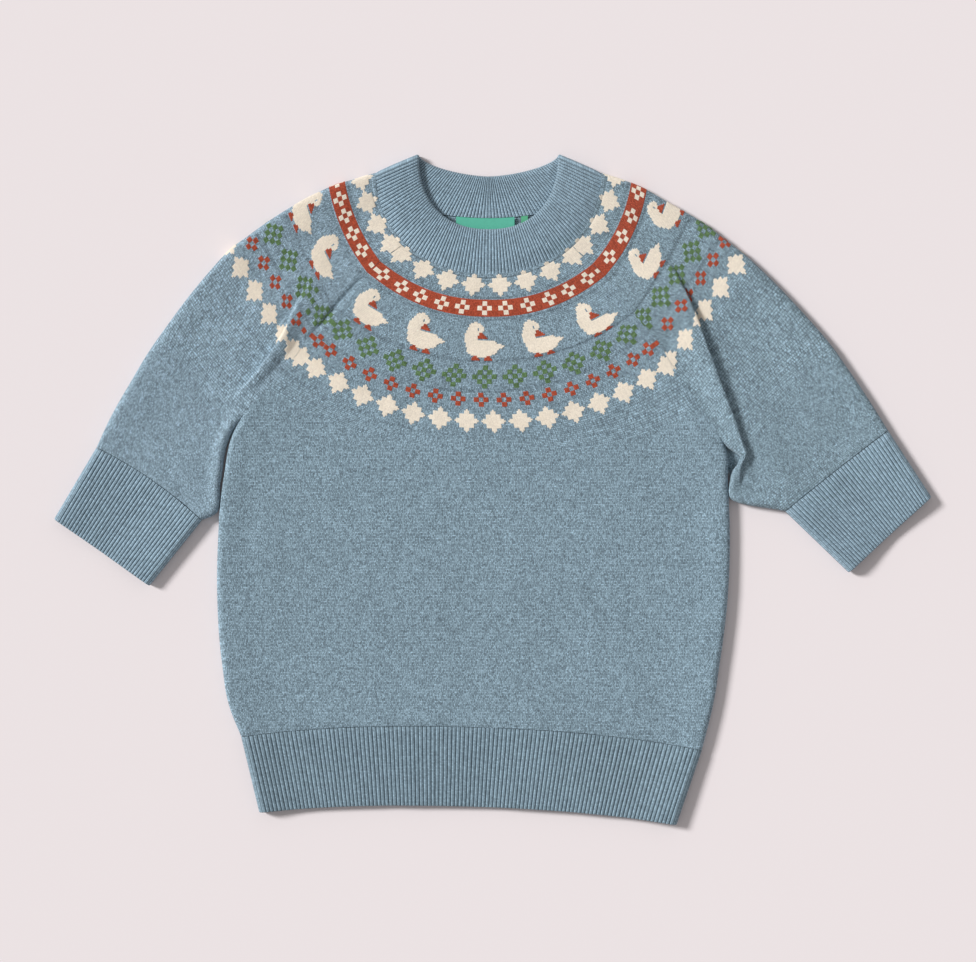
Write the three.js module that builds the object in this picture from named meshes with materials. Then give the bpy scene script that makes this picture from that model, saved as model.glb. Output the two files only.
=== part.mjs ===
import * as THREE from 'three';

// A child's fair isle jumper with raglan sleeves, laid flat on its back.
// Sizes are in millimetres: +X is the viewer's right, +Y points to the neck, +Z is up from the table.

// Cloth and seams
const clothWall = 1.8;
const ribWall = 2.0;
const ribRise = 0.5;
const bandWall = 3.2;
const labelWall = 1.0;
const seamGap = 0.3;

// Heights above the table
const restHeight = 5.6;
const sideSeamHeight = 4.0;
const edgeRadius = 3.8;
const edgeBulge = 2.2;
const edgeBulgeWidth = 16;
const frontBandHeight = 4.4;

// Even steps across a plain panel, along a sleeve's upper layer past its fold, and along its lower layer
const panelSteps = 13;
const sleeveEvenSteps = 4;
const lowerSteps = 5;
// A sleeve's fold, as shares of its reach and its rise, up to half the width of the slope at its outer side
const foldStart = { seam: 1, rise: 0.25 };
const foldMiddle = { reach: 0.5, seam: 0.6, rise: 0.8 };
const foldCrest = { seam: 0.3, rise: 1 };
const foldLip = { seam: 0.2, rise: 0.75 };
const foldSlope = 3;

// Rib counts on the sides that show
const hemRibs = 109;
const cuffRibs = 32;
const neckRibsFront = 94;
const neckRibsBack = 72;
// Points at each end of the neckband's ribs that stay plain, for the turn-over
const plainBandPoints = 4;
// The neckband's open edge is thinner than its wall
const bandEdgeShare = 0.8;
// Spots that measure a curve's length
const curveSamples = 600;

// Neck: two half ovals for the seam and two for the open edge, each with its centre, reach and squareness
const neckSeamFront = { x: -2.8, y: 206, reach: 73.2, drop: 66, power: 2.1 };
const neckSeamBack = { x: -2.8, y: 202.6, reach: 73.2, drop: 25.8, power: 2.0 };
const neckEdgeFront = { x: -2.6, y: 218, reach: 45.2, drop: 48.7, power: 2.3 };
const neckEdgeBack = { x: -2.6, y: 217.6, reach: 45.2, drop: 13.6, power: 1.6 };
const bandTurnAngle = 2.6;
const raglanStart = { left: -56.9, right: 50.4 };
const backRaglanStart = { left: -60.1, right: 53.6 };

// A table's rows as objects with these column names.
function named(columns, rows) {
  return rows.map((row) => Object.fromEntries(columns.map((name, i) => [name, row[i]])));
}
const bodyColumns = ['leftX', 'leftY', 'rightX', 'rightY', 'drop'];
const armColumns = ['seamX', 'seamY', 'topX', 'topY', 'bow', 'foldReach', 'foldRise'];

// Front sections from the neck to the armpits: both ends, how far the middle drops below the chord,
// and how much the two ends and the middle stand above the resting height
const frontSections = named([...bodyColumns, 'leftRise', 'rise', 'rightRise'], [
  [-56.9, 160.2, 50.4, 160.2, 20.0, 0.5, 0.5, 0.5],
  [-62.1, 156.3, 54.9, 155.0, 23.0, 0.3, 0.3, 0.3],
  [-77.7, 144.6, 69.2, 142.7, 25.9, 0.2, 0.1, 0.2],
  [-95.2, 127.7, 87.4, 121.2, 29.2, 0.0, 0.4, 0.3],
  [-110.8, 109.5, 95.9, 108.9, 37.4, 0.0, 0.2, 0.4],
  [-119.9, 99.1, 106.3, 97.8, 40.2, 0.0, 0.0, 0.5],
  [-127.1, 88.1, 114.7, 84.2, 41.6, 0.2, 0.3, 0.6],
  [-143.3, 69.2, 132.9, 56.9, 36.0, 1.2, 0.2, 1.4],
]);
const armpitSection = 8;

// Body sections from the armpit to the hem, shared by front and back
const bodySections = named(bodyColumns, [
  [-166.7, 41.3, 151.1, 28.3, 29.7],
  [-175.2, 6.2, 153.2, 2.0, 24.0],
  [-178.6, -35.0, 154.4, -36.0, 16.5],
  [-178.9, -75.0, 152.6, -75.0, 9.0],
  [-175.9, -113.0, 147.8, -113.0, 3.0],
  [-170.0, -144.6, 142.0, -146.6, -2.6],
  [-163.5, -160.5, 136.2, -169.3, -10.5],
]);
const hemSections = named(bodyColumns, [
  [-163.5, -160.8, 136.2, -169.6, -10.5],
  [-151.8, -209.3, 119.9, -217.4, -7.9],
]);
const dropPower = 2.3;

// Sleeve sections from the neck to the cuff seam: the raglan or underarm end, the end at the upper
// fold, the bow towards the cuff, and the fold beside the raglan: its reach and its rise
const rightSleeveSections = named(armColumns, [
  [-56.9, 160.2, -76.0, 206.4, 4.9, 20, 0],
  [-62.1, 156.3, -85.5, 203.1, 4.3, 20, 0],
  [-77.7, 144.6, -101.1, 198.6, 3.6, 22, 0],
  [-95.2, 127.7, -123.2, 188.2, 2.9, 26, 0.1],
  [-110.8, 109.5, -146.6, 173.9, 0, 21, 1.4],
  [-119.9, 99.1, -160.2, 164.1, 0, 19, 2.8],
  [-127.1, 88.1, -171.9, 155.0, 0.8, 16, 3.8],
  [-143.3, 69.2, -192.7, 131.6, 2.7, 12.5, 3.8],
  [-166.7, 41.3, -216.1, 100.4, 1.0, 12, 0],
  [-176.4, 6.2, -235.0, 70.5, 2.0, 14, 0],
  [-179.8, -15.6, -249.9, 43.9, -1.0, 16, 0],
  [-188.8, -19.8, -257.4, 27.6, -3.0, 18, 0],
]);
const leftSleeveSections = named(armColumns, [
  [50.4, 160.2, 70.5, 205.7, 4.9, 24, 0],
  [54.9, 155.0, 79.6, 203.1, 4.6, 26, 0],
  [69.2, 142.7, 95.2, 197.3, 4.6, 32, 0],
  [87.4, 121.2, 117.3, 184.9, 1.5, 38, 0.4],
  [95.9, 108.9, 140.1, 171.3, 2.9, 38, 2.0],
  [106.3, 97.8, 154.4, 160.2, 0.8, 34, 4.2],
  [114.7, 84.2, 166.1, 151.1, 0.5, 31, 5.8],
  [132.9, 56.9, 190.1, 127.7, 0.3, 22, 6.2],
  [151.1, 28.3, 220.7, 93.3, -0.9, 13, 4.6],
  [156.6, 17.6, 228.9, 81.7, -0.9, 10, 4.0],
  [154.4, 7.0, 237.6, 69.2, -0.7, 9, 2.6],
  [156.0, -7.0, 248.6, 52.3, -2.7, 11, 0.8],
  [190.1, -14.0, 257.1, 38.7, -0.3, 18, 0],
]);
const rightCuffSections = named(armColumns, [
  [-189.0, -20.1, -257.6, 27.3, -3.0, 18, 0],
  [-222.6, -62.1, -284.7, -18.5, 0, 18, 0],
]);
const leftCuffSections = named(armColumns, [
  [190.3, -14.3, 257.3, 38.4, -0.3, 18, 0],
  [231.2, -53.6, 285.0, -4.2, 0, 18, 0],
]);

// Label and tab: left edge, width and length below the back neck seam
const neckLabel = { left: -23.7, width: 38, length: 19 };
const sizeTab = { left: 18.6, width: 4.4, length: 8 };

const colours = {
  cloth: 0x8095a2,
  rib: 0x74879a,
  band: 0x7c909d,
  label: 0x53b299,
  tab: 0x5b9a6f,
};

const mix = (a, b, t) => a + (b - a) * t;
const radians = (degrees) => (degrees * Math.PI) / 180;

// Closed solids from sheets

function solidMesh(name, colour, roughness, points, quads) {
  const geometry = new THREE.BufferGeometry();
  const numbers = points.flatMap((point) => [point.x, point.y, point.z]);
  geometry.setAttribute('position', new THREE.Float32BufferAttribute(numbers, 3));
  geometry.setIndex(quads.flatMap(([a, b, c, d]) => [a, b, c, a, c, d]));
  geometry.computeVertexNormals();
  const material = new THREE.MeshStandardMaterial({ color: colour, roughness, metalness: 0 });
  const mesh = new THREE.Mesh(geometry, material);
  mesh.name = name;
  return mesh;
}

// Averages the face normals round every point of a sheet.
function sheetNormals(points, quads) {
  const normals = points.map(() => new THREE.Vector3());
  for (const [a, b, c, d] of quads) {
    const across = new THREE.Vector3().subVectors(points[c], points[a]);
    const along = new THREE.Vector3().subVectors(points[d], points[b]);
    const face = across.cross(along);
    [a, b, c, d].forEach((corner) => normals[corner].add(face));
  }
  return normals.map((normal) => normal.normalize());
}

// Edges that only one face of a sheet uses, as rim faces between the outer and inner points.
function rimQuads(quads, offset) {
  const used = new Set();
  const edges = quads.flatMap(([a, b, c, d]) => [[a, b], [b, c], [c, d], [d, a]]);
  edges.forEach(([a, b]) => used.add(`${a},${b}`));
  return edges
    .filter(([a, b]) => !used.has(`${b},${a}`))
    .map(([a, b]) => [b, a, a + offset, b + offset]);
}

// Turns rows of points into a wall: the relief moves the outer points out, the inner side stays plain.
// A point marked level is on a side seam, where the wall's thickness lies level with the table.
// Where joined(row) is true the last column is the first one again, so the sheet closes into a tube.
function wallMesh(name, colour, rows, wall, joined, flip) {
  const columns = rows[0].length;
  const index = (row, column) => row * columns + (column === columns - 1 && joined(row) ? 0 : column);
  const quads = [];
  for (let row = 0; row < rows.length - 1; row += 1) {
    for (let column = 0; column < columns - 1; column += 1) {
      const corners = [
        index(row, column),
        index(row + 1, column),
        index(row + 1, column + 1),
        index(row, column + 1),
      ];
      quads.push(flip ? corners.reverse() : corners);
    }
  }
  const used = [...new Set(quads.flat())].sort((a, b) => a - b);
  const place = new Map(used.map((old, next) => [old, next]));
  const sheet = quads.map((quad) => quad.map((corner) => place.get(corner)));
  const flat = rows.flat();
  const base = used.map((old) => flat[old].point);
  const relief = used.map((old) => flat[old].relief || 0);
  const normals = sheetNormals(base, sheet);
  used.forEach((old, i) => {
    if (flat[old].level) {
      normals[i].setZ(0).normalize();
    }
  });
  const outer = base.map((point, i) => point.clone().addScaledVector(normals[i], relief[i]));
  const inner = base.map((point, i) => point.clone().addScaledVector(normals[i], -wall));
  const inside = sheet.map(([a, b, c, d]) => [d, c, b, a].map((corner) => corner + base.length));
  const all = [...sheet, ...inside, ...rimQuads(sheet, base.length)];
  return solidMesh(name, colour, 0.95, [...outer, ...inner], all);
}

// Curves in plan

function ovalPoint(oval, angle) {
  const across = Math.cos(angle);
  const down = Math.sin(angle);
  const power = 2 / oval.power;
  return {
    x: oval.x - Math.sign(across) * Math.abs(across) ** power * oval.reach,
    y: oval.y - Math.abs(down) ** power * oval.drop,
  };
}

// The angle at which an oval passes over x.
function ovalAngle(oval, x) {
  const share = (oval.x - x) / oval.reach;
  return Math.acos(Math.sign(share) * Math.abs(share) ** (oval.power / 2));
}

// A body section: a chord between its two ends that drops in the middle.
function bodyPoint(section, t) {
  const drop = section.drop * (1 - Math.abs(2 * t - 1) ** dropPower);
  return {
    x: mix(section.leftX, section.rightX, t),
    y: mix(section.leftY, section.rightY, t) - drop,
  };
}

// How far the cloth stands up beside an edge, at a distance from it.
function bulgeAt(distance) {
  const past = Math.max(distance - edgeRadius, 0) / edgeBulgeWidth;
  return edgeBulge * Math.exp(-(past ** 2));
}

// Steps across a body section: three to round each edge, and an even count between them.
function bodySteps(width, count) {
  const share = (turn) => (edgeRadius * (1 - Math.cos(radians(turn)))) / width;
  const left = [0, 30, 60, 90].map((turn) => ({ t: share(turn), turn }));
  const right = [90, 60, 30, 0].map((turn) => ({ t: 1 - share(turn), turn }));
  const inset = share(90);
  const evenShare = (i) => mix(inset, 1 - inset, (i + 1) / count);
  const middle = Array.from({ length: count - 1 }, (_, i) => ({ t: evenShare(i), turn: 90 }));
  return [...left, ...middle, ...right];
}

const widthOf = (section) => Math.hypot(section.rightX - section.leftX, section.rightY - section.leftY);

// The front: its upper sections are open at the raglans, its lower ones turn down at the side edges.
function frontRow(section, number, count) {
  const rolled = number >= armpitSection;
  const width = widthOf(section);
  return bodySteps(width, count).map((step) => {
    const inset = number === 0 ? 0 : seamGap / 2 / width;
    const t = mix(inset, 1 - inset, step.t);
    const spot = number === 0 ? neckRowPoint(t) : bodyPoint(section, t);
    const nearest = Math.min(step.t, 1 - step.t) * width;
    let z = restHeight + bulgeAt(nearest);
    if (!rolled) {
      const end = step.t < 0.5 ? section.leftRise : section.rightRise;
      z = restHeight + mix(end, section.rise, Math.min(nearest / edgeBulgeWidth / 2, 1));
    } else if (step.turn < 90) {
      z = sideSeamHeight + seamGap / 2 + edgeRadius * Math.sin(radians(step.turn));
    }
    return { point: new THREE.Vector3(spot.x, spot.y, z), level: rolled && step.turn === 0 };
  });
}

// The front's own part of the neck seam.
function neckRowPoint(t) {
  const start = ovalAngle(neckSeamFront, raglanStart.left + seamGap / 2);
  const end = ovalAngle(neckSeamFront, raglanStart.right - seamGap / 2);
  return ovalPoint(neckSeamFront, mix(start, end, t));
}

function frontPanel() {
  const sections = [...frontSections, ...bodySections];
  const rows = sections.map((section, number) => frontRow(section, number, panelSteps));
  return wallMesh('front', colours.cloth, rows, clothWall, () => false, false);
}

// The back lies flat: its sections run straight down the raglans, then share the body's outline.
const backRaglanShares = [0, 0.25, 0.5, 0.75];

function backSections() {
  const first = ovalPoint(neckSeamBack, ovalAngle(neckSeamBack, backRaglanStart.left));
  const last = ovalPoint(neckSeamBack, ovalAngle(neckSeamBack, backRaglanStart.right));
  const armpit = bodySections[0];
  const raglan = backRaglanShares.map((share) => ({
    leftX: mix(first.x, armpit.leftX, share),
    leftY: mix(first.y, armpit.leftY, share),
    rightX: mix(last.x, armpit.rightX, share),
    rightY: mix(last.y, armpit.rightY, share),
    drop: mix(first.y - neckSeamBack.y + neckSeamBack.drop, armpit.drop, share),
  }));
  return [...raglan, ...bodySections];
}

function backRow(section, rolled, neck, count) {
  const width = widthOf(section);
  const radius = sideSeamHeight - seamGap / 2;
  return bodySteps(width, count).map((step) => {
    const inset = neck ? 0 : seamGap / 2 / width;
    const t = mix(inset, 1 - inset, step.t);
    const spot = neck ? backNeckPoint(t) : bodyPoint(section, t);
    const z = rolled && step.turn < 90 ? radius * (1 - Math.sin(radians(step.turn))) : 0;
    return { point: new THREE.Vector3(spot.x, spot.y, z), level: rolled && step.turn === 0 };
  });
}

function backNeckPoint(t) {
  const start = ovalAngle(neckSeamBack, backRaglanStart.left + seamGap / 2);
  const end = ovalAngle(neckSeamBack, backRaglanStart.right - seamGap / 2);
  return ovalPoint(neckSeamBack, mix(start, end, t));
}

function backPanel() {
  const rows = backSections().map((section, number) => {
    const rolled = number >= backRaglanShares.length;
    return backRow(section, rolled, number === 0, panelSteps);
  });
  return wallMesh('back', colours.cloth, rows, clothWall, () => false, true);
}

function hemRibFront() {
  const steps = hemRibs * 2;
  const roundingSteps = 3;
  const isRidge = (i) => i > roundingSteps && i < steps + roundingSteps && i % 2 === 0;
  const rows = hemSections.map((section) => {
    const cells = frontRow(section, armpitSection, steps);
    return cells.map((cell, i) => ({ ...cell, relief: isRidge(i) ? ribRise : 0 }));
  });
  return wallMesh('hem_rib_front', colours.rib, rows, ribWall, () => false, false);
}

function hemRibBack() {
  const rows = hemSections.map((section) => backRow(section, true, false, panelSteps));
  return wallMesh('hem_rib_back', colours.rib, rows, ribWall, () => false, true);
}

// Sleeves and cuffs

// A point on a bowed line between two ends, at a distance from the first.
function bowedPoint(start, end, bow, distance) {
  const length = Math.hypot(end.x - start.x, end.y - start.y);
  const t = distance / length;
  const along = { x: (end.x - start.x) / length, y: (end.y - start.y) / length };
  const side = start.x < 0 ? 1 : -1;
  const reach = bow * 4 * t * (1 - t);
  return {
    x: start.x + along.x * distance - side * along.y * reach,
    y: start.y + along.y * distance + side * along.x * reach,
  };
}

// The back raglan end of a sleeve section, in step with the front one.
function backRaglanPoint(sections, number) {
  const first = sections[0];
  const armpit = sections[armpitSection];
  const whole = Math.hypot(armpit.seamX - first.seamX, armpit.seamY - first.seamY);
  const here = sections[number];
  const share = Math.hypot(here.seamX - first.seamX, here.seamY - first.seamY) / whole;
  const side = first.seamX < 0 ? 'left' : 'right';
  const start = ovalPoint(neckSeamBack, ovalAngle(neckSeamBack, backRaglanStart[side]));
  return { x: mix(start.x, armpit.seamX, share), y: mix(start.y, armpit.seamY, share) };
}

// One section round the arm: rounded underarm or raglan end, upper layer, upper fold, lower layer, end.
// upperSteps lists how far along the upper layer each point lies and how high it stands there.
function armRow(section, closed, backEnd, neckAngle, upperSteps) {
  const seam = { x: section.seamX, y: section.seamY };
  const top = { x: section.topX, y: section.topY };
  const length = Math.hypot(top.x - seam.x, top.y - seam.y);
  const start = closed ? 0 : seamGap / 2;
  const radius = sideSeamHeight;
  const upper = (distance) => {
    const along = mix(start, length, distance / length);
    if (neckAngle === undefined) {
      return bowedPoint(seam, top, section.bow, along);
    }
    return ovalPoint(neckSeamFront, neckAngle(along / length));
  };
  const lowerLength = Math.hypot(top.x - backEnd.x, top.y - backEnd.y);
  const lower = (distance) => {
    const along = mix(start, lowerLength, distance / lowerLength);
    if (neckAngle !== undefined) {
      const side = section.seamX < 0 ? 'left' : 'right';
      const inset = section.seamX < 0 ? -seamGap / 2 : seamGap / 2;
      const from = ovalAngle(neckSeamBack, backRaglanStart[side] + inset);
      const to = side === 'left' ? 0 : Math.PI;
      return ovalPoint(neckSeamBack, mix(from, to, distance / lowerLength));
    }
    return bowedPoint(backEnd, top, closed ? section.bow : 0, along);
  };
  const cell = (spot, z, relief = 0) => ({ point: new THREE.Vector3(spot.x, spot.y, z), relief });
  const cells = [];
  for (const turn of [0, 45]) {
    const distance = radius * (1 - Math.cos(radians(turn)));
    const rolled = sideSeamHeight + radius * Math.sin(radians(turn));
    const end = cell(upper(distance), closed ? rolled : restHeight + section.seamRise);
    cells.push({ ...end, level: closed && turn === 0 });
  }
  upperSteps.forEach((step) => cells.push(cell(upper(step.distance), step.z, step.relief)));
  for (const turn of [90, 45, 0, -45, -90]) {
    const distance = length - radius * (1 - Math.cos(radians(turn)));
    const layer = turn >= 0 ? upper(distance) : lower(lowerLength - radius * (1 - Math.cos(radians(turn))));
    cells.push(cell(layer, sideSeamHeight + radius * Math.sin(radians(turn))));
  }
  for (let i = 1; i < lowerSteps; i += 1) {
    cells.push(cell(lower(mix(lowerLength - radius, radius, i / lowerSteps)), 0));
  }
  for (const turn of [90, 45, 0]) {
    const distance = radius * (1 - Math.cos(radians(turn)));
    cells.push(cell(lower(distance), closed ? sideSeamHeight - radius * Math.sin(radians(turn)) : 0));
  }
  return cells;
}

// Upper steps of a sleeve: the fold beside the raglan, then even ones to the upper fold.
function sleeveSteps(section, closed) {
  const length = Math.hypot(section.topX - section.seamX, section.topY - section.seamY);
  const far = length - edgeRadius;
  const seamRise = closed ? edgeBulge : section.seamRise;
  const reach = section.foldReach;
  const height = (shares) => restHeight + seamRise * shares.seam + section.foldRise * shares.rise;
  const steps = [
    { distance: edgeRadius, z: height(foldStart) },
    { distance: reach * foldMiddle.reach, z: height(foldMiddle) },
    { distance: reach - foldSlope, z: height(foldCrest) },
    { distance: reach, z: height(foldLip) },
    { distance: reach + foldSlope, z: restHeight },
  ];
  for (let i = 1; i < sleeveEvenSteps; i += 1) {
    const distance = mix(reach + foldSlope, far, i / sleeveEvenSteps);
    steps.push({ distance, z: restHeight + bulgeAt(length - distance) });
  }
  return steps;
}

// Both sleeves share the seam heights of the front's ends.
function withSeamRise(sections, side) {
  return sections.map((section, number) => ({
    ...section,
    seamRise: number < armpitSection ? frontSections[number][`${side}Rise`] : edgeBulge,
  }));
}

function sleeve(name, table, side) {
  const sections = withSeamRise(table, side);
  const inset = side === 'left' ? -seamGap / 2 : seamGap / 2;
  const from = ovalAngle(neckSeamFront, raglanStart[side] + inset);
  const to = side === 'left' ? 0 : Math.PI;
  const rows = sections.map((section, number) => {
    const closed = number >= armpitSection;
    const backEnd = closed ? { x: section.seamX, y: section.seamY } : backRaglanPoint(sections, number);
    const neckAngle = number === 0 ? (share) => mix(from, to, share) : undefined;
    return armRow(section, closed, backEnd, neckAngle, sleeveSteps(section, closed));
  });
  return wallMesh(name, colours.cloth, rows, clothWall, (row) => row >= armpitSection, side === 'left');
}

function cuff(name, sections, side) {
  const rows = sections.map((section) => {
    const length = Math.hypot(section.topX - section.seamX, section.topY - section.seamY);
    const count = cuffRibs * 2;
    const steps = Array.from({ length: count }, (_, i) => {
      const distance = mix(edgeRadius, length - edgeRadius, i / count);
      const bulge = bulgeAt(Math.min(distance, length - distance));
      return { distance, z: restHeight + bulge, relief: i % 2 === 1 ? ribRise : 0 };
    });
    const end = { x: section.seamX, y: section.seamY };
    return armRow({ ...section, seamRise: edgeBulge }, true, end, undefined, steps);
  });
  return wallMesh(name, colours.rib, rows, ribWall, () => true, side === 'left');
}

// Neckband: a folded double rib, one ring that turns over at both sides of the neck

// Angles along a half oval, spaced evenly by length between two of them.
function evenAngles(oval, from, to, count) {
  const samples = curveSamples;
  const angles = Array.from({ length: samples + 1 }, (_, i) => mix(from, to, i / samples));
  const spots = angles.map((angle) => ovalPoint(oval, angle));
  const lengths = [0];
  for (let i = 1; i <= samples; i += 1) {
    lengths.push(lengths[i - 1] + Math.hypot(spots[i].x - spots[i - 1].x, spots[i].y - spots[i - 1].y));
  }
  return Array.from({ length: count + 1 }, (_, i) => {
    const wanted = (lengths[samples] * i) / count;
    const after = Math.max(lengths.findIndex((length) => length >= wanted), 1);
    const share = (wanted - lengths[after - 1]) / (lengths[after] - lengths[after - 1]);
    return mix(angles[after - 1], angles[after], share);
  });
}

// One station: the seam end and the open end of the band, its middle height and its outward direction.
function bandSection(seam, edge, middle, outward, outerRise, innerRise) {
  const half = bandWall / 2;
  const at = (share, offset) => {
    const point = new THREE.Vector3(mix(seam.x, edge.x, share), mix(seam.y, edge.y, share), middle);
    return point.addScaledVector(outward, offset);
  };
  return [
    at(0, half),
    at(0.5, half + outerRise),
    at(1, half * bandEdgeShare),
    at(1, -half * bandEdgeShare),
    at(0.5, -half - innerRise),
    at(0, -half),
  ];
}

function neckband() {
  const within = (oval) => ({ ...oval, reach: oval.reach - seamGap, drop: oval.drop - seamGap });
  const seamFront = within(neckSeamFront);
  const seamBack = within(neckSeamBack);
  const frontMiddle = frontBandHeight + bandWall / 2;
  const backMiddle = bandWall / 2;
  const turnRadius = (frontMiddle - backMiddle) / 2;
  const up = new THREE.Vector3(0, 0, 1);
  const down = new THREE.Vector3(0, 0, -1);
  const away = new THREE.Vector3(0, 1, 0);
  const stations = [];
  const half = (seamOval, edgeOval, from, to, ribs, middle, front) => {
    const count = ribs * 2;
    evenAngles(seamOval, from, to, count).forEach((angle, i) => {
      const ribbed = i > plainBandPoints && i < count - plainBandPoints;
      const ridge = i % 2 === 1 && ribbed ? ribRise : 0;
      const seam = ovalPoint(seamOval, angle);
      const edge = ovalPoint(edgeOval, angle);
      const rises = front ? [ridge, 0] : [0, ridge];
      stations.push(bandSection(seam, edge, middle, front ? up : down, ...rises));
    });
  };
  const turnOver = (angle, turns) => {
    const seam = ovalPoint(seamFront, angle);
    const edge = ovalPoint(neckEdgeFront, angle);
    for (const turn of turns) {
      const cos = Math.cos(radians(turn));
      const sin = Math.sin(radians(turn));
      const outward = away.clone().multiplyScalar(cos).addScaledVector(up, sin);
      const height = backMiddle + turnRadius * (1 + sin);
      const section = bandSection(seam, edge, height, outward, 0, 0);
      stations.push(section.map((point) => point.clone().addScaledVector(away, turnRadius * cos)));
    }
  };
  const start = radians(bandTurnAngle);
  half(seamFront, neckEdgeFront, start, Math.PI - start, neckRibsFront, frontMiddle, true);
  turnOver(Math.PI - start, [45, 0, -45]);
  half(seamBack, neckEdgeBack, Math.PI, 0, neckRibsBack, backMiddle, false);
  turnOver(start, [-45, 0, 45]);
  const size = stations[0].length;
  const quads = [];
  for (let i = 0; i < stations.length; i += 1) {
    const next = (i + 1) % stations.length;
    for (let k = 0; k < size; k += 1) {
      const beside = (k + 1) % size;
      quads.push([i * size + k, next * size + k, next * size + beside, i * size + beside]);
    }
  }
  return solidMesh('neckband', colours.band, 0.95, stations.flat(), quads);
}

// Label and tab hang from the back neck seam, on the inside of the back.
function labelPiece(name, colour, sizes) {
  const columns = 8;
  const lift = clothWall + seamGap + labelWall;
  const rows = [0, 0.5, 1].map((down) => Array.from({ length: columns + 1 }, (_, i) => {
    const x = sizes.left + (sizes.width * i) / columns;
    const seam = ovalPoint(neckSeamBack, ovalAngle(neckSeamBack, x));
    const y = mix(seam.y - seamGap, seam.y - sizes.length, down);
    return { point: new THREE.Vector3(x, y, lift) };
  }));
  return wallMesh(name, colour, rows, labelWall, () => false, false);
}

const jumper = new THREE.Group();
jumper.add(backPanel());
jumper.add(frontPanel());
jumper.add(sleeve('right_sleeve', rightSleeveSections, 'left'));
jumper.add(sleeve('left_sleeve', leftSleeveSections, 'right'));
jumper.add(hemRibBack());
jumper.add(hemRibFront());
jumper.add(cuff('right_cuff', rightCuffSections, 'left'));
jumper.add(cuff('left_cuff', leftCuffSections, 'right'));
jumper.add(neckband());
jumper.add(labelPiece('neck_label', colours.label, neckLabel));
jumper.add(labelPiece('size_tab', colours.tab, sizeTab));

// The origin is the middle of the whole outline, on the table.
const middle = new THREE.Box3().setFromObject(jumper).getCenter(new THREE.Vector3());
jumper.position.set(-middle.x, -middle.y, 0);

export default jumper;
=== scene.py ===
"""The looks of a child's fair isle jumper with raglan sleeves, laid flat on its back.

Sizes in the tables are in millimetres: +X is the viewer's right, +Y points to the neck and +Z is
up from the table. The outline's middle becomes the frame's origin when a mesh is made.
"""

import math

import bpy
import numpy as np
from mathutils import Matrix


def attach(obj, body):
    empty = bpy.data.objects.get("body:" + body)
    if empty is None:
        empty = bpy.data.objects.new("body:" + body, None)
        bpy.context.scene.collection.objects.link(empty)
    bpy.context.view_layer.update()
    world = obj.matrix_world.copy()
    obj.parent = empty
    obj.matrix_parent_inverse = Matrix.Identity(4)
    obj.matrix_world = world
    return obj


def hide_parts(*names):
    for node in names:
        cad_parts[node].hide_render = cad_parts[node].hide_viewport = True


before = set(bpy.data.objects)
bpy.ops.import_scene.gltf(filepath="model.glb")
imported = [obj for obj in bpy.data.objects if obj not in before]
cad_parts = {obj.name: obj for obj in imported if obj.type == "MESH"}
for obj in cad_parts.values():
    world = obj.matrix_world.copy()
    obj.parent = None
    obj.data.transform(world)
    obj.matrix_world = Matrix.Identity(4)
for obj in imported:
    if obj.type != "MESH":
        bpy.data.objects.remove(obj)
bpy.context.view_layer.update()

MM = 0.001
OUTLINE_MIDDLE = np.array([0.15, 0.3987, 0.0])

# Cloth thickness and gaps
CLOTH = 1.2
RIB_CLOTH = 1.5
SEAM_GAP = 0.3
SEAM_INSET = 0.01
BAND = 3.2
# How far the neckband's outer face sinks to meet the panels at its seam
BAND_SINK = 1.5
LABEL = 0.5
LABEL_HEIGHT = 2.9
# How deep the cloth sinks along a rib's seam
RIB_SEAM_SINK = 0.5

# Heights above the table
REST = 5.6
SIDE_SEAM = 4.0
UNDER = 0.5
FRONT_BAND_MIDDLE = 6.0
BACK_BAND_MIDDLE = 1.6
CUFF_UNDER = 0.05

# Rounded side edges
EDGE_RADIUS = 3.8
EDGE_BULGE = 2.2
BULGE_WIDTH = 16.0
# Courses above the armpit over which the panels' side edges turn round
CLOSING_SPAN = 7.0
SPREAD_WIDTH = 32.0
# Steps round the side edges of the upper and the lower panels
UPPER_ROLL_STEPS = 6
LOWER_ROLL_STEPS = 4

# Knit gauge: width of a stitch and height of a course
STITCH = 1.04
COURSE = 1.0
# Where stitch numbers start in the UV maps, well above 0 and half a stitch on for the panels
STITCH_ORIGIN = 400.5
RIB_ORIGIN = 400

# Ribs: counts on the sides that show, height over the furrows, and steps to each rib
HEM_RIBS = 109
CUFF_RIBS = 32
BAND_RIBS_FRONT = 94
BAND_RIBS_BACK = 72
RIB_RISE = 0.45
RIB_DEPTH = 0.55
RIB_STEPS = 8
RIB_CREST = RIB_RISE + RIB_DEPTH
RIB_ROWS = 26
UNDER_HEM_RIBS = 60
# Lengths over which the ribs' gathers are set, and steps round an open edge
RIB_LENGTH = 50
BAND_LENGTH = 28
CURL_STEPS = 5

# Sleeve fold beside the raglan: most turn of its lip, the height that needs it, and its radius limit
FOLD_TURN = {"left": math.radians(118), "right": math.radians(160)}
FOLD_FULL_RISE = 5.0
FOLD_RADIUS = 2.6
FOLD_ARC_SHARE = 0.8
LIP_SHARE = 0.62

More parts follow.
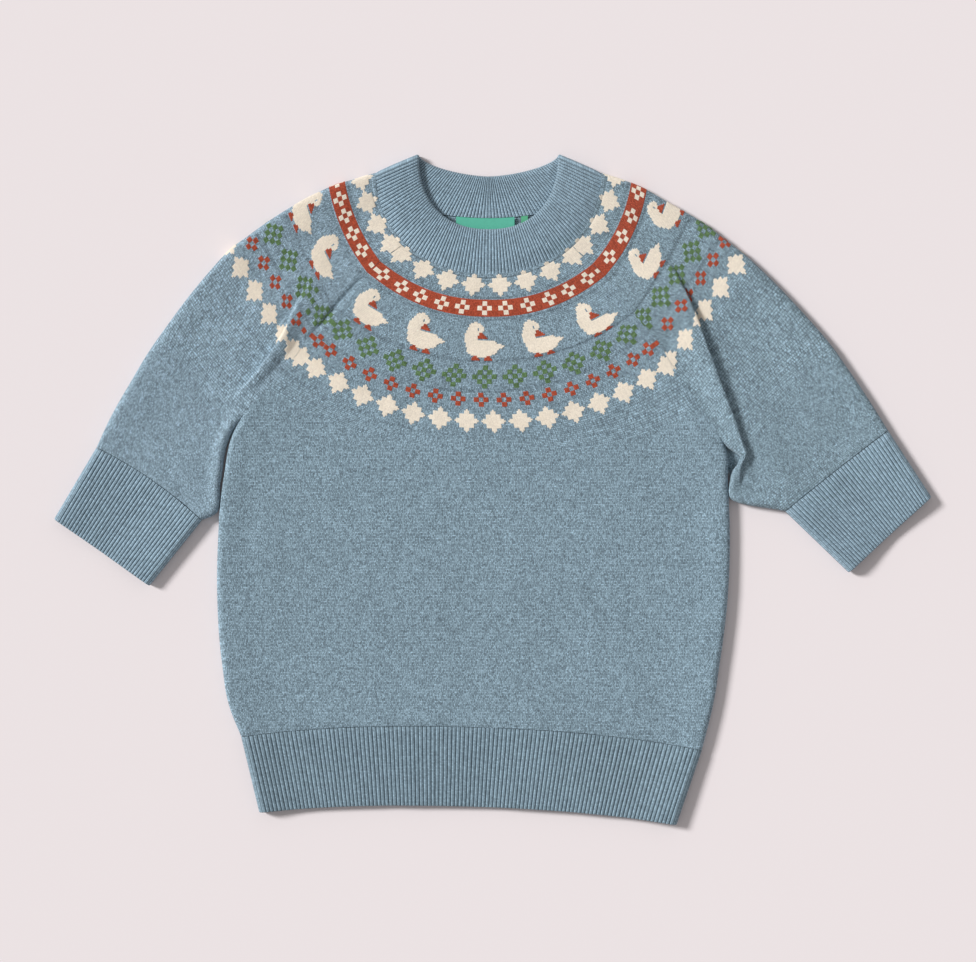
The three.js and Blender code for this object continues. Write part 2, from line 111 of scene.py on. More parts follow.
# Neck: half ovals for the seam and the open edge, with centre, reach, drop and squareness
SEAM_FRONT = {"x": -2.8, "y": 206.0, "reach": 73.2, "drop": 66.0, "power": 2.1}
SEAM_BACK = {"x": -2.8, "y": 202.6, "reach": 73.2, "drop": 25.8, "power": 2.0}
EDGE_FRONT = {"x": -2.6, "y": 218.0, "reach": 45.2, "drop": 48.7, "power": 2.3}
EDGE_BACK = {"x": -2.6, "y": 217.6, "reach": 45.2, "drop": 13.6, "power": 1.6}
BAND_TURN_ANGLE = math.radians(2.6)
RAGLAN_START = {"left": -56.9, "right": 50.4}
BACK_RAGLAN_START = {"left": -60.1, "right": 53.6}
ARMPIT = 8
# Course of the viewer's right underarm where the cloth lifts off the body and leaves a dark opening
UNDERARM_TUCK = 146.6
UNDERARM_GAP = 6.0
UNDERARM_SHIFT = 4.5

# Courses of the sections, counted down the front's middle, and down each sleeve past the armpit
FRONT_COURSES = [0, 7.4, 22.3, 44.8, 68.2, 81.8, 95.5, 113, 135, 160, 192, 224, 256, 283, 294.4]
RIGHT_SLEEVE_COURSES = FRONT_COURSES[:9] + [170.4, 196.3, 209.5]
LEFT_SLEEVE_COURSES = FRONT_COURSES[:9] + [146.6, 159.5, 178.4, 198.4]
# Courses where the yoke's stitch count changes, up to the plain body below it
BODY_START = 116.2
ZONES = [0, 15.3, 30.3, 57.3, 74.3, 88.3, BODY_START]
BORDERS = np.concatenate([np.array(ZONES[1:]) - 0.02, ZONES[1:]])
# Course where the yoke's relief ends, and over how many courses it fades
YOKE_END = 112
YOKE_FADE = 6


def table(columns, rows):
    """The named columns of a table, each as an array."""
    return dict(zip(columns.split(), np.array(rows, float).T))


# Front sections from the neck to the hem: both ends, the middle's drop below their chord, and how
# much the ends and the middle stand above the resting height
FRONT = table("left_x left_y right_x right_y drop left_rise rise right_rise", [
    (-56.9, 160.2, 50.4, 160.2, 20.0, 0.5, 0.5, 0.5),
    (-62.1, 156.3, 54.9, 155.0, 23.0, 0.3, 0.3, 0.3),
    (-77.7, 144.6, 69.2, 142.7, 25.9, 0.2, 0.1, 0.2),
    (-95.2, 127.7, 87.4, 121.2, 29.2, 0.0, 0.4, 0.3),
    (-110.8, 109.5, 95.9, 108.9, 37.4, 0.0, 0.2, 0.4),
    (-119.9, 99.1, 106.3, 97.8, 40.2, 0.0, 0.0, 0.5),
    (-127.1, 88.1, 114.7, 84.2, 41.6, 0.2, 0.3, 0.6),
    (-143.3, 69.2, 132.9, 56.9, 36.0, 1.2, 0.2, 1.4),
    (-166.7, 41.3, 151.1, 28.3, 29.7, 1.4, 0.0, 1.6),
    (-175.2, 6.2, 153.2, 2.0, 24.0, 0, 0, 0),
    (-178.6, -35.0, 154.4, -36.0, 16.5, 0, 0, 0),
    (-178.9, -75.0, 152.6, -75.0, 9.0, 0, 0, 0),
    (-175.9, -113.0, 147.8, -113.0, 3.0, 0, 0, 0),
    (-170.0, -144.6, 142.0, -146.6, -2.6, 0, 0, 0),
    (-163.5, -160.5, 136.2, -169.3, -10.5, 0, 0, 0),
])
HEM = table("left_x left_y right_x right_y drop left_rise rise right_rise", [
    (-163.5, -160.8, 136.2, -169.6, -10.5, 0, 0, 0),
    (-151.8, -209.3, 119.9, -217.4, -7.9, 0, 0, 0),
])
DROP_POWER = 2.3

# Sleeve sections from the neck to the cuff: the raglan or underarm end, the end at the upper edge,
# the bow towards the cuff, and the fold beside the raglan: its reach and its rise
ARM_COLUMNS = "seam_x seam_y top_x top_y bow reach rise"
RIGHT_SLEEVE = table(ARM_COLUMNS, [
    (-56.9, 160.2, -76.0, 206.4, 4.9, 20, 0),
    (-62.1, 156.3, -85.5, 203.1, 4.3, 20, 0),
    (-77.7, 144.6, -101.1, 198.6, 3.6, 22, 0),
    (-95.2, 127.7, -123.2, 188.2, 2.9, 26, 0.1),
    (-110.8, 109.5, -146.6, 173.9, 0, 21, 1.4),
    (-119.9, 99.1, -160.2, 164.1, 0, 19, 2.8),
    (-127.1, 88.1, -171.9, 155.0, 0.8, 16, 3.8),
    (-143.3, 69.2, -192.7, 131.6, 2.7, 12.5, 3.8),
    (-166.7, 41.3, -216.1, 100.4, 1.0, 12, 0),
    (-176.4, 6.2, -235.0, 70.5, 2.0, 14, 0),
    (-179.8, -15.6, -249.9, 43.9, -1.0, 16, 0),
    (-188.8, -19.8, -257.4, 27.6, -3.0, 18, 0),
])
LEFT_SLEEVE = table(ARM_COLUMNS, [
    (50.4, 160.2, 70.5, 205.7, 4.9, 24, 0),
    (54.9, 155.0, 79.6, 203.1, 4.6, 26, 0),
    (69.2, 142.7, 95.2, 197.3, 4.6, 32, 0),
    (87.4, 121.2, 117.3, 184.9, 1.5, 38, 0.4),
    (95.9, 108.9, 140.1, 171.3, 2.9, 38, 2.0),
    (106.3, 97.8, 154.4, 160.2, 0.8, 34, 4.2),
    (114.7, 84.2, 166.1, 151.1, 0.5, 31, 5.8),
    (132.9, 56.9, 190.1, 127.7, 0.3, 22, 6.2),
    (151.1, 28.3, 220.7, 93.3, -0.9, 13, 4.6),
    (156.6, 17.6, 228.9, 81.7, -0.9, 10, 4.0),
    (154.4, 7.0, 237.6, 69.2, -0.7, 9, 2.6),
    (156.0, -7.0, 248.6, 52.3, -2.7, 11, 0.8),
    (190.1, -14.0, 257.1, 38.7, -0.3, 18, 0),
])
RIGHT_CUFF = table(ARM_COLUMNS, [
    (-189.0, -20.1, -257.6, 27.3, -3.0, 18, 0),
    (-222.6, -62.1, -284.7, -18.5, 0, 18, 0),
])
LEFT_CUFF = table(ARM_COLUMNS, [
    (190.3, -14.3, 257.3, 38.4, -0.3, 18, 0),
    (231.2, -53.6, 285.0, -4.2, 0, 18, 0),
])

# Soft creases of the upper side: a line's two ends, its half width and its height, below 0 for a trough
CREASES = [
    (-80, 141, -122, 96, 1.6, -1.1),
    (-122, 127, -156, 76, 3.5, -1.4),
    (-150, 66, -170, 30, 5.0, 0.9),
    (-163, 20, -161, -70, 9.0, -0.7),
    (-151, -10, -146, -120, 12.0, 0.5),
    (-226, 16, -206, -6, 4.0, 0.8),
    (-214, 20, -195, -8, 3.5, -0.7),
    (-204, 20, -188, -2, 4.0, 0.7),
    (-205, 90, -226, 52, 12.0, 0.6),
    (-150, 150, -190, 96, 10.0, -0.6),
    (-110, 176, -150, 132, 8.0, -0.5),
    (120, 66, 141, 30, 6.0, 0.7),
    (137, 14, 138, -90, 9.0, -0.6),
    (126, -20, 120, -130, 12.0, 0.4),
    (163, 30, 172, 2, 4.5, -1.3),
    (176, 30, 196, -2, 6.0, 0.7),
    (165, 96, 200, 40, 9.0, -0.8),
    (190, 88, 222, 40, 10.0, 0.6),
    (92, 178, 128, 132, 8.0, -0.5),
    (-60, -60, 60, -74, 16.0, 0.3),
    (-90, -110, 30, -100, 18.0, -0.3),
    (40, 20, 110, -30, 14.0, 0.3),
    (-110, -20, -30, 10, 16.0, -0.3),
    (-40, -150, -34, -120, 9.0, 0.4),
    (30, -160, 26, -128, 9.0, 0.4),
    (-112, -152, -104, -122, 8.0, 0.4),
    (96, -158, 88, -124, 8.0, 0.4),
]
# Soft creases of the lower side, all of them troughs, so that it still rests flat
UNDER_CREASES = [
    (-120, 120, -60, 60, 9.0, 0.7),
    (110, 110, 60, 40, 8.0, 0.6),
    (-150, 10, -130, -110, 10.0, 0.8),
    (128, 0, 118, -100, 11.0, 0.7),
    (-70, -30, 40, -48, 14.0, 0.5),
    (-40, -120, 60, -104, 12.0, 0.6),
    (-170, 120, -215, 60, 9.0, 0.7),
    (-230, 50, -205, 10, 7.0, 0.5),
    (160, 120, 205, 66, 9.0, 0.7),
    (236, 52, 206, 12, 7.0, 0.5),
]
# Soft puckers along the courses between the motif rings: course, depth and half width
PUCKERS = [
    (15, 0.1, 1.4), (29.5, 0.12, 1.4), (56.5, 0.22, 2.0),
    (76, 0.2, 2.0), (89, 0.12, 1.6), (104.5, 0.15, 1.6),
]
# Courses of darker bands between the rings: course, half width and how much darker
DARK_COURSES = [
    (2.7, 0.5, 0.34), (15.6, 0.8, 0.2), (29.2, 0.8, 0.2), (56.4, 1.1, 0.24),
    (76.2, 1.1, 0.2), (89.0, 0.8, 0.1), (106, 1.0, 0.1),
]
# From here on the stitch numbers are those of the plain body, square to it
BODY_STITCH_ROW = 1000
SEAM_CREASE = 0.9
# Uneven swell of the stranded cloth
YOKE_SWELL = 0.32
# Rise of the welt along the neck seam
NECK_WELT = 0.28
# Rings where stranded yarn makes the cloth thicker: middle course, half width and rise
STRANDED = [
    (7.4, 6.5, 0.12), (22.3, 6.0, 0.25), (43.5, 11.5, 0.3),
    (67, 6.0, 0.2), (81.5, 4.5, 0.15), (95, 6.5, 0.2),
]
# Share of the lower sides' lumps that shows
UNDER_LUMPS = 0.4

rng = np.random.default_rng(7)
LATTICES = rng.random((8, 64, 64))


def mix(a, b, t):
    return a + (b - a) * t


def smooth(t):
    """0 below 0, 1 above 1 and a soft step between."""
    t = np.clip(t, 0, 1)
    return t * t * (3 - 2 * t)


def hump(x, middle, half):
    """1 at its middle, with a soft fall on both sides."""
    return np.exp(-(((x - middle) / half) ** 2))


def raised(plan, height):
    """Points from their places in plan and their heights."""
    return np.concatenate([plan, height[..., None]], -1)


def marks(across, down):
    """Stitch and course of each point, as a UV map takes them."""
    return np.stack(np.broadcast_arrays(across, down), -1)


def soft_noise(x, y, size, layer):
    """Smooth noise from -1 to 1 whose lumps are about that size."""
    lattice = LATTICES[layer]
    gx = np.asarray(x) / size + 500
    gy = np.asarray(y) / size + 500
    ix = np.floor(gx).astype(int)
    iy = np.floor(gy).astype(int)
    fx = smooth(gx - ix)
    fy = smooth(gy - iy)
    low = mix(lattice[iy % 64, ix % 64], lattice[iy % 64, (ix + 1) % 64], fx)
    high = mix(lattice[(iy + 1) % 64, ix % 64], lattice[(iy + 1) % 64, (ix + 1) % 64], fx)
    return mix(low, high, fy) * 2 - 1


def spline(knots, values, at):
    """A smooth curve through values at uneven knots."""
    knots = np.asarray(knots, float)
    slopes = np.gradient(values, knots)
    i = np.clip(np.searchsorted(knots, at, side="right") - 1, 0, len(knots) - 2)
    span = knots[i + 1] - knots[i]
    s = (at - knots[i]) / span
    start = (1 + 2 * s) * (1 - s) ** 2 * values[i] + s * (1 - s) ** 2 * slopes[i] * span
    end = s * s * (3 - 2 * s) * values[i + 1] + s * s * (s - 1) * slopes[i + 1] * span
    return start + end


def sections_at(sections, knots, courses):
    """Every column of a table at these courses, ready to spread over the columns of a grid."""
    return {name: spline(knots, values, courses)[:, None] for name, values in sections.items()}


# Curves in plan

def oval_point(oval, angle):
    """A point of a half oval, as an array with x and y last."""
    across = np.cos(angle)
    down = np.sin(angle)
    power = 2 / oval["power"]
    x = oval["x"] - np.sign(across) * np.abs(across) ** power * oval["reach"]
    y = oval["y"] - np.abs(down) ** power * oval["drop"]
    return np.stack([x, y], -1)


def oval_angle(oval, x):
    """The angle at which an oval passes over x."""
    share = (oval["x"] - x) / oval["reach"]
    return math.acos(math.copysign(abs(share) ** (oval["power"] / 2), share))


def even_angles(oval, start, end, count):
    """Angles along a half oval, evenly spaced by length."""
    angles = np.linspace(start, end, 1200)
    steps = np.linalg.norm(np.diff(oval_point(oval, angles), axis=0), axis=1)
    lengths = np.concatenate([[0], np.cumsum(steps)])
    return np.interp(np.linspace(0, lengths[-1], count + 1), lengths, angles)


def chord_point(s, t):
    """A point of a body section: its chord, with a middle that drops."""
    drop = s["drop"] * (1 - np.abs(2 * t - 1) ** DROP_POWER)
    x = mix(s["left_x"], s["right_x"], t)
    y = mix(s["left_y"], s["right_y"], t) - drop
    return np.stack([x, y], -1)


def bowed_point(start, end, bow, distance):
    """A point of a bowed line between two ends, at a distance from the first."""
    length = np.linalg.norm(end - start, axis=-1)[..., None]
    along = (end - start) / length
    t = distance[..., None] / length
    side = np.where(start[..., :1] < 0, 1.0, -1.0)
    reach = bow[..., None] * 4 * t * (1 - t)
    across = np.stack([-along[..., 1], along[..., 0]], -1)
    return start + along * distance[..., None] + side * across * reach


def bulge(distance):
    """How far the cloth stands up beside an edge, at a distance from it."""
    return EDGE_BULGE * hump(np.maximum(distance - EDGE_RADIUS, 0), 0, BULGE_WIDTH)


# Relief of the cloth

def crease_height(x, y, creases):
    """Soft troughs and ridges along short lines that fade out at both ends."""
    height = np.zeros_like(x)
    for number, (x0, y0, x1, y1, width, rise) in enumerate(creases):
        length = math.hypot(x1 - x0, y1 - y0)
        ax, ay = (x1 - x0) / length, (y1 - y0) / length
        along = (x - x0) * ax + (y - y0) * ay
        wander = width * 0.35 * np.sin(along / length * 5 + number)
        across = (y - y0) * ax - (x - x0) * ay + wander
        run = length * 0.35
        fade = smooth((along + width) / run) * smooth((length + width - along) / run)
        height += rise * fade * hump(across, 0, width)
    return height


def yoke_relief(down, x, y):
    """Puckers between the motif rings, the thicker stranded rings and the line of the neck seam."""
    height = np.zeros_like(x)
    for number, (course, depth, width) in enumerate(PUCKERS):
        drift = course + soft_noise(x + number * 40, y, 16, 1) * 0.9
        strength = 0.75 + 0.45 * soft_noise(x + number * 40, y, 11, 2)
        height -= depth * strength * hump(down, drift, width)
    for course, width, rise in STRANDED:
        height += rise * smooth((width + 2 - np.abs(down - course)) / 3)
    height += YOKE_SWELL * soft_noise(x, y, 13, 7)
    return height + NECK_WELT * (hump(down, 1.0, 0.9) - hump(down, 2.9, 0.8))


def lumps(x, y):
    """Uneven knitting and small dents, which no flat cloth is without."""
    return 0.28 * soft_noise(x, y, 26, 3) + 0.12 * soft_noise(x, y, 9, 4) + 0.05 * soft_noise(x, y, 3.5, 5)


def upper_relief(down, x, y, last):
    """Relief of an upper side: its knitting, its creases, the yoke and the dip at the last course's seam."""
    yoke = yoke_relief(down, x, y) * smooth((YOKE_END - down) / YOKE_FADE)
    return lumps(x, y) + crease_height(x, y, CREASES) + yoke - RIB_SEAM_SINK * hump(down, last, 1.3)


def seam_dip(down, distance):
    """The crease along the viewer's left raglan, deepest where the rings of the yoke are widest."""
    strength = smooth((down - 22) / 14) * smooth((96 - down) / 24)
    return SEAM_CREASE * strength * hump(distance, 0, 1.5)


# Grids of the panels: points, courses and stitches, the column that places are counted from, and
# the column that ends the side that shows

def edge_shares(width, roll, count):
    """Shares across a panel: fine steps round each side edge, and even steps between."""
    left = EDGE_RADIUS * (1 - np.cos(roll))[None, :] / width
    inset = EDGE_RADIUS / width
    middle = inset + (1 - 2 * inset) * (np.arange(1, count) / count)[None, :]
    return np.concatenate([left, middle, 1 - left[:, ::-1]], axis=1)


def roll_steps(count):
    return np.radians(np.linspace(0, 90, count + 1))


def column_turns(roll, count):
    """The turn of each column of a panel: 90 degrees on the level stretch between the edges."""
    return np.concatenate([roll, np.full(count - 1, math.pi / 2), roll[::-1]])[None, :]


def closing(down):
    """0 where the panels are open at the raglans, 1 where their side edges are rounded."""
    return smooth((down - FRONT_COURSES[ARMPIT] + CLOSING_SPAN) / CLOSING_SPAN)


def neck_fade(courses, end):
    """How far each course still follows the neck seam's curve."""
    return np.clip(1 - courses / end, 0, 1)[:, None, None] ** 2


def panel_plan(sections, knots, courses, roll, count, inset, neck):
    """A panel in plan, with its sections, width and shares across.

    neck is the seam's half oval and where the raglans start on it, or None for a hem.
    """
    s = sections_at(sections, knots, courses)
    width = np.hypot(s["right_x"] - s["left_x"], s["right_y"] - s["left_y"])
    t = edge_shares(width, roll, count)
    plan = chord_point(s, mix(inset / width, 1 - inset / width, t))
    if neck:
        oval, starts = neck
        first = sections_at(sections, knots, np.zeros(1))
        angles = mix(oval_angle(oval, starts["left"] + inset), oval_angle(oval, starts["right"] - inset), t)
        shift = oval_point(oval, angles) - chord_point(first, t)
        plan = plan + shift * neck_fade(courses, knots[1])
    return plan, s, width, t


def upper_grid(sections, knots, courses, count, neck=None):
    """Points of the front or the front of the hem, how far each is past the edge, and shares across."""
    roll = roll_steps(UPPER_ROLL_STEPS)
    turn = column_turns(roll, count)
    plan, s, width, t = panel_plan(sections, knots, courses, roll, count, SEAM_INSET, neck)
    nearest = np.minimum(t, 1 - t) * width
    ends = np.where(t < 0.5, s["left_rise"], s["right_rise"])
    open_height = REST + mix(ends, s["rise"], smooth(nearest / SPREAD_WIDTH))
    seam = SIDE_SEAM + SEAM_GAP / 2
    swell = 0.22 * soft_noise(plan[..., 1], t.round() * 90, 34, 6)
    rolled = np.where(
        turn < math.pi / 2,
        seam + (REST + EDGE_BULGE - seam) * np.sin(turn) * (1 + swell * 0.6 * np.sin(turn)),
        REST + bulge(nearest) * (1 + swell))
    height = mix(open_height, rolled, closing(courses)[:, None] if neck else 1.0)
    return raised(plan, height), np.minimum(nearest / EDGE_RADIUS, 1), t


def lower_grid(sections, knots, courses, count, neck=None):
    """Points of the back or the back of the hem, whose outer side lies on the table, and shares across."""
    roll = roll_steps(LOWER_ROLL_STEPS)
    plan, _, _, t = panel_plan(sections, knots, courses, roll, count, SEAM_GAP / 2, neck)
    rolled = (SIDE_SEAM - SEAM_GAP / 2 - UNDER) * (1 - np.sin(column_turns(roll, count)))
    closed = closing(courses)[:, None] if neck else np.ones((len(courses), 1))
    return raised(plan, UNDER + rolled * closed), t


def yoke_courses(end, count):
    """Courses of a grid: one by one over the yoke, doubled where the stitch count changes, then spread."""
    yoke = np.arange(0, BODY_START - 0.5)
    return np.sort(np.concatenate([yoke, BORDERS, np.linspace(BODY_START + 0.7, end, count)]))


def front_grid():
    courses = yoke_courses(FRONT_COURSES[-1], 94)
    down = courses[:, None]
    points, ease, t = upper_grid(FRONT, FRONT_COURSES, courses, 198, (SEAM_FRONT, RAGLAN_START))
    x, y = points[..., 0], points[..., 1]
    middle = points.shape[1] // 2
    across = lengths_from(points, middle)
    relief = upper_relief(down, x, y, FRONT_COURSES[-1])
    relief += 0.25 * soft_noise(x, x * 0, 5, 2) * hump(down, FRONT_COURSES[-1] - 3.4, 3)
    calm = mix(1, mix(0.25, 1, smooth(ease)), closing(down))
    points[..., 2] += relief * calm - seam_dip(down, t * 240)
    return points, courses, panel_stitches(points, courses, across), middle, -1


def panel_stitches(points, courses, across):
    """Stitch and course of each point: in rings over the yoke, and square to the body below."""
    half = np.abs(across[:, [0, -1]]).mean(1)
    share = across / half[:, None]
    u = np.zeros_like(across)
    for start, end in zip(ZONES, ZONES[1:]):
        rows = (courses >= start) & (courses < end)
        centre = np.interp((start + end) / 2, courses, half)
        u[rows] = share[rows] * round(centre / STITCH)
    v = courses[:, None] / COURSE + across * 0
    body = courses >= BODY_START
    u[body] = points[body][..., 0] / STITCH
    v[body] = BODY_STITCH_ROW - points[body][..., 1] / COURSE
    return marks(u, v) + STITCH_ORIGIN


def lengths_from(points, zero):
    """Cloth length along each course, from the column zero."""
    steps = np.linalg.norm(np.diff(points, axis=1), axis=2)
    lengths = np.concatenate([np.zeros((len(points), 1)), np.cumsum(steps, axis=1)], 1)
    return lengths - lengths[:, zero:zero + 1]


def back_sections():
    """The back's raglans run straight from the neck to the armpits; below, it shares the outline."""
    ends = [
        oval_point(SEAM_BACK, oval_angle(SEAM_BACK, BACK_RAGLAN_START[side])) for side in ("left", "right")]
    neck = dict(zip(("left_x", "left_y", "right_x", "right_y"), np.concatenate(ends)))
    neck["drop"] = neck["left_y"] - SEAM_BACK["y"] + SEAM_BACK["drop"]
    shares = np.array([0, 0.25, 0.5, 0.75])
    return {
        name: np.concatenate([mix(neck.get(name, 0), values[ARMPIT], shares), values[ARMPIT:]])
        for name, values in FRONT.items()
    }


# Courses of the back's sections, in step with the sleeves at the raglans
BACK_COURSES = [0, 36.3, 75, 110.2] + FRONT_COURSES[ARMPIT:]


def back_grid():
    courses = np.sort(np.concatenate([np.linspace(0, BACK_COURSES[-1], 150), BORDERS]))
    points, t = lower_grid(back_sections(), BACK_COURSES, courses, 140, (SEAM_BACK, BACK_RAGLAN_START))
    x, y = points[..., 0], points[..., 1]
    points[..., 2] += crease_height(x, y, UNDER_CREASES) * smooth(np.minimum(t, 1 - t) * 20)
    points[..., 2] += np.maximum(lumps(x, y), 0) * UNDER_LUMPS
    middle = points.shape[1] // 2
    across = lengths_from(points, middle)
    return points, courses, panel_stitches(points, courses, across), middle, -1


# Sleeves

ARM_ROLL = roll_steps(5)[None, :]
# Steps up to the lip of a sleeve's fold, round each of its bends, and between the bends
FOLD_STEPS = (20, 6, 3)
LEVEL_STEPS = 46
LOWER_STEPS = 32


def fold_path(reach, rise, seam_height, length, most_turn):
    """Distances and heights across a sleeve's upper layer, over the fold beside the raglan.

    Each argument has a row for each course. The cloth climbs from the seam to the lip of the
    fold, turns back under it, and comes out again at the resting height.
    """
    rise = np.maximum(rise, 0.02)
    turn = most_turn * smooth(rise / FOLD_FULL_RISE * 0.9 + 0.02)
    radius = np.minimum(FOLD_RADIUS, FOLD_ARC_SHARE * rise / (1 - np.cos(turn)))
    straight = np.maximum(rise - radius * (1 - np.cos(turn)), 0) / np.sin(turn)
    lip = radius * LIP_SHARE
    valley = radius - lip
    top = REST + rise
    lip_start = reach - lip * np.where(turn < math.pi / 2, np.sin(turn), 1)
    lip_end = lip_start + lip * np.sin(turn)
    lip_foot = top - lip * (1 - np.cos(turn))
    back_end = lip_end + straight * np.cos(turn)
    back_foot = lip_foot - straight * np.sin(turn)
    valley_end = back_end + valley * np.sin(turn)
    climb, arc, back = (np.linspace(0, 1, count, endpoint=False)[None, :] for count in FOLD_STEPS)
    over, under = turn * arc, turn * (1 - arc)
    level = mix(valley_end, length - SIDE_SEAM, np.linspace(0, 1, LEVEL_STEPS)[None, :])
    distances = [
        mix(SIDE_SEAM, lip_start, climb),
        lip_start + lip * np.sin(over),
        lip_end + straight * np.cos(turn) * back,
        back_end + valley * (np.sin(turn) - np.sin(under)),
        level,
    ]
    heights = [
        mix(seam_height, top, smooth(climb ** 0.8)),
        top - lip * (1 - np.cos(over)),
        lip_foot - straight * np.sin(turn) * back,
        back_foot - valley * (np.cos(under) - np.cos(turn)),
        REST + bulge(length - level) * smooth((level - valley_end) / 12),
    ]
    return np.concatenate(distances, 1), np.concatenate(heights, 1)


def back_raglan(sections, side):
    """Where a sleeve's lower layer ends at each section: on the back's raglan, in step with the front's."""
    x, y = sections["seam_x"], sections["seam_y"]
    run = np.hypot(x - x[0], y - y[0])
    share = np.clip(run / run[ARMPIT], 0, 1)
    start = oval_point(SEAM_BACK, oval_angle(SEAM_BACK, BACK_RAGLAN_START[side]))
    above = np.arange(len(x)) < ARMPIT
    return [np.where(above, mix(first, ends[ARMPIT], share), ends) for first, ends in zip(start, (x, y))]


def plan_line(x, y):
    """A line in plan with a point for each course."""
    return np.concatenate([x, y], 1)[:, None, :]


def upper_layer(s, courses, length, side):
    """Distances and heights from the front end over the fold to the middle of the upper edge."""
    closed = closing(courses)[:, None]
    seam_rise = spline(FRONT_COURSES, FRONT[f"{side}_rise"], np.minimum(courses, FRONT_COURSES[ARMPIT]))
    edge_height = mix(REST + seam_rise[:, None], 2 * SIDE_SEAM, closed)
    start, over = ARM_ROLL[:, :-1], ARM_ROLL[:, -2::-1]
    fold_d, fold_z = fold_path(s["reach"], s["rise"], edge_height, length, FOLD_TURN[side])
    distances = [
        SIDE_SEAM * (1 - np.cos(start)) + SEAM_INSET * (1 - closed),
        fold_d,
        length - SIDE_SEAM * (1 - np.cos(over)),
    ]
    heights = [
        mix(edge_height, SIDE_SEAM + SIDE_SEAM * np.sin(start), closed),
        fold_z,
        SIDE_SEAM + (REST + EDGE_BULGE - SIDE_SEAM) * np.sin(over) + length * 0,
    ]
    return np.concatenate(distances, 1), np.concatenate(heights, 1)


def lower_layer(courses, length, tuck):
    """Distances and heights of the lower layer, from the upper edge to the back end."""
    closed = closing(courses)[:, None]
    under, end = ARM_ROLL[:, 1:-1], ARM_ROLL[:, -2::-1]
    level = mix(SIDE_SEAM, length - SIDE_SEAM, np.linspace(1, 0, LOWER_STEPS)[None, :])
    end_z = mix(UNDER, SIDE_SEAM - (SIDE_SEAM - UNDER) * np.sin(end) - 0.1, closed)
    distances = [
        length - SIDE_SEAM * (1 - np.cos(under)),
        level,
        SIDE_SEAM * (1 - np.cos(end)) + SEAM_GAP / 2 * (1 - closed),
    ]
    heights = [
        SIDE_SEAM - (SIDE_SEAM - UNDER) * np.sin(under) + length * 0,
        UNDER + level * 0,
        mix(end_z, UNDER, 0.8 * tuck),
    ]
    return np.concatenate(distances, 1), np.concatenate(heights, 1)


def sleeve_grid(sections, knots, side):
    """One sheet round the arm: raglan or underarm end, upper layer, upper edge, lower layer, end."""
    courses = yoke_courses(knots[-1], 40)
    down = courses[:, None]
    s = sections_at(sections, knots, courses)
    tuck = (side == "right") * hump(down, UNDERARM_TUCK, 7)
    gap = (side == "right") * UNDERARM_GAP * hump(down, UNDERARM_TUCK - 3.5, 5.5)
    s["reach"] = np.maximum(s["reach"] - gap, 5)
    back_x, back_y = (spline(knots, ends, courses)[:, None] for ends in back_raglan(sections, side))
    seam = plan_line(s["seam_x"] + gap, s["seam_y"])
    top = plan_line(s["top_x"], s["top_y"])
    back_end = plan_line(back_x - UNDERARM_SHIFT * tuck, back_y)
    length = np.linalg.norm(top - seam, axis=-1)
    lower_length = np.linalg.norm(top - back_end, axis=-1)
    up_d, up_z = upper_layer(s, courses, length, side)
    down_d, down_z = lower_layer(courses, lower_length, tuck)
    closed = closing(down)
    fade = neck_fade(courses, FRONT_COURSES[1])
    upper = bowed_point(seam, top, s["bow"] + up_d * 0, up_d)
    upper = upper + neck_shift(SEAM_FRONT, RAGLAN_START, side, up_d / length, upper[0]) * fade
    lower = bowed_point(back_end, top, s["bow"] * closed + down_d * 0, down_d)
    lower = lower + neck_shift(SEAM_BACK, BACK_RAGLAN_START, side, down_d / lower_length, lower[0]) * fade
    relief = upper_relief(down, upper[..., 0], upper[..., 1], knots[-1])
    if side == "left":
        relief -= seam_dip(down, up_d)
    edge_fade = smooth((length - up_d) / 6) * mix(smooth(up_d / 5), 1, 1 - closed)
    folded = smooth((s["reach"] - 4 - up_d) / 3) + smooth((up_d - s["reach"] - 2) / 4)
    up_z = up_z + relief * edge_fade * mix(1, np.clip(folded, 0, 1), smooth(s["rise"] / 2))
    x, y = lower[..., 0], lower[..., 1]
    relief = crease_height(x, y, UNDER_CREASES) + np.maximum(lumps(x, y), 0) * UNDER_LUMPS
    down_z = down_z + relief * smooth(down_d / 8) * smooth((lower_length - down_d - 4) / 8)
    points = np.concatenate([raised(upper, up_z), raised(lower, down_z)], 1)
    edge = up_d.shape[1] - 1
    across = lengths_from(points, edge)
    return points, courses, marks(across / STITCH, down / COURSE) + STITCH_ORIGIN, 0, edge


def neck_shift(oval, starts, side, share, first_row):
    """From a sleeve's first course to its own part of the neck seam."""
    inset, end = (-SEAM_INSET, 0) if side == "left" else (SEAM_INSET, math.pi)
    begin = oval_angle(oval, starts[side] + inset)
    return oval_point(oval, mix(begin, end, share[:1])) - first_row


# Ribs of the hem and the cuffs

def rib_ridge(phase):
    """Height over a rib from 0 in the furrows to 1 on the ridge, with a broad round top."""
    return np.abs(np.sin(math.pi * phase)) ** 0.7


def gathered(distance, span):
    """How far ribs stand up: half as far at their seam."""
    return 1 - 0.5 * hump(distance, 0, span)


def rib_relief(phase, down):
    return (rib_ridge(phase) * RIB_CREST - RIB_DEPTH) * gathered(down * RIB_LENGTH, 2.0)


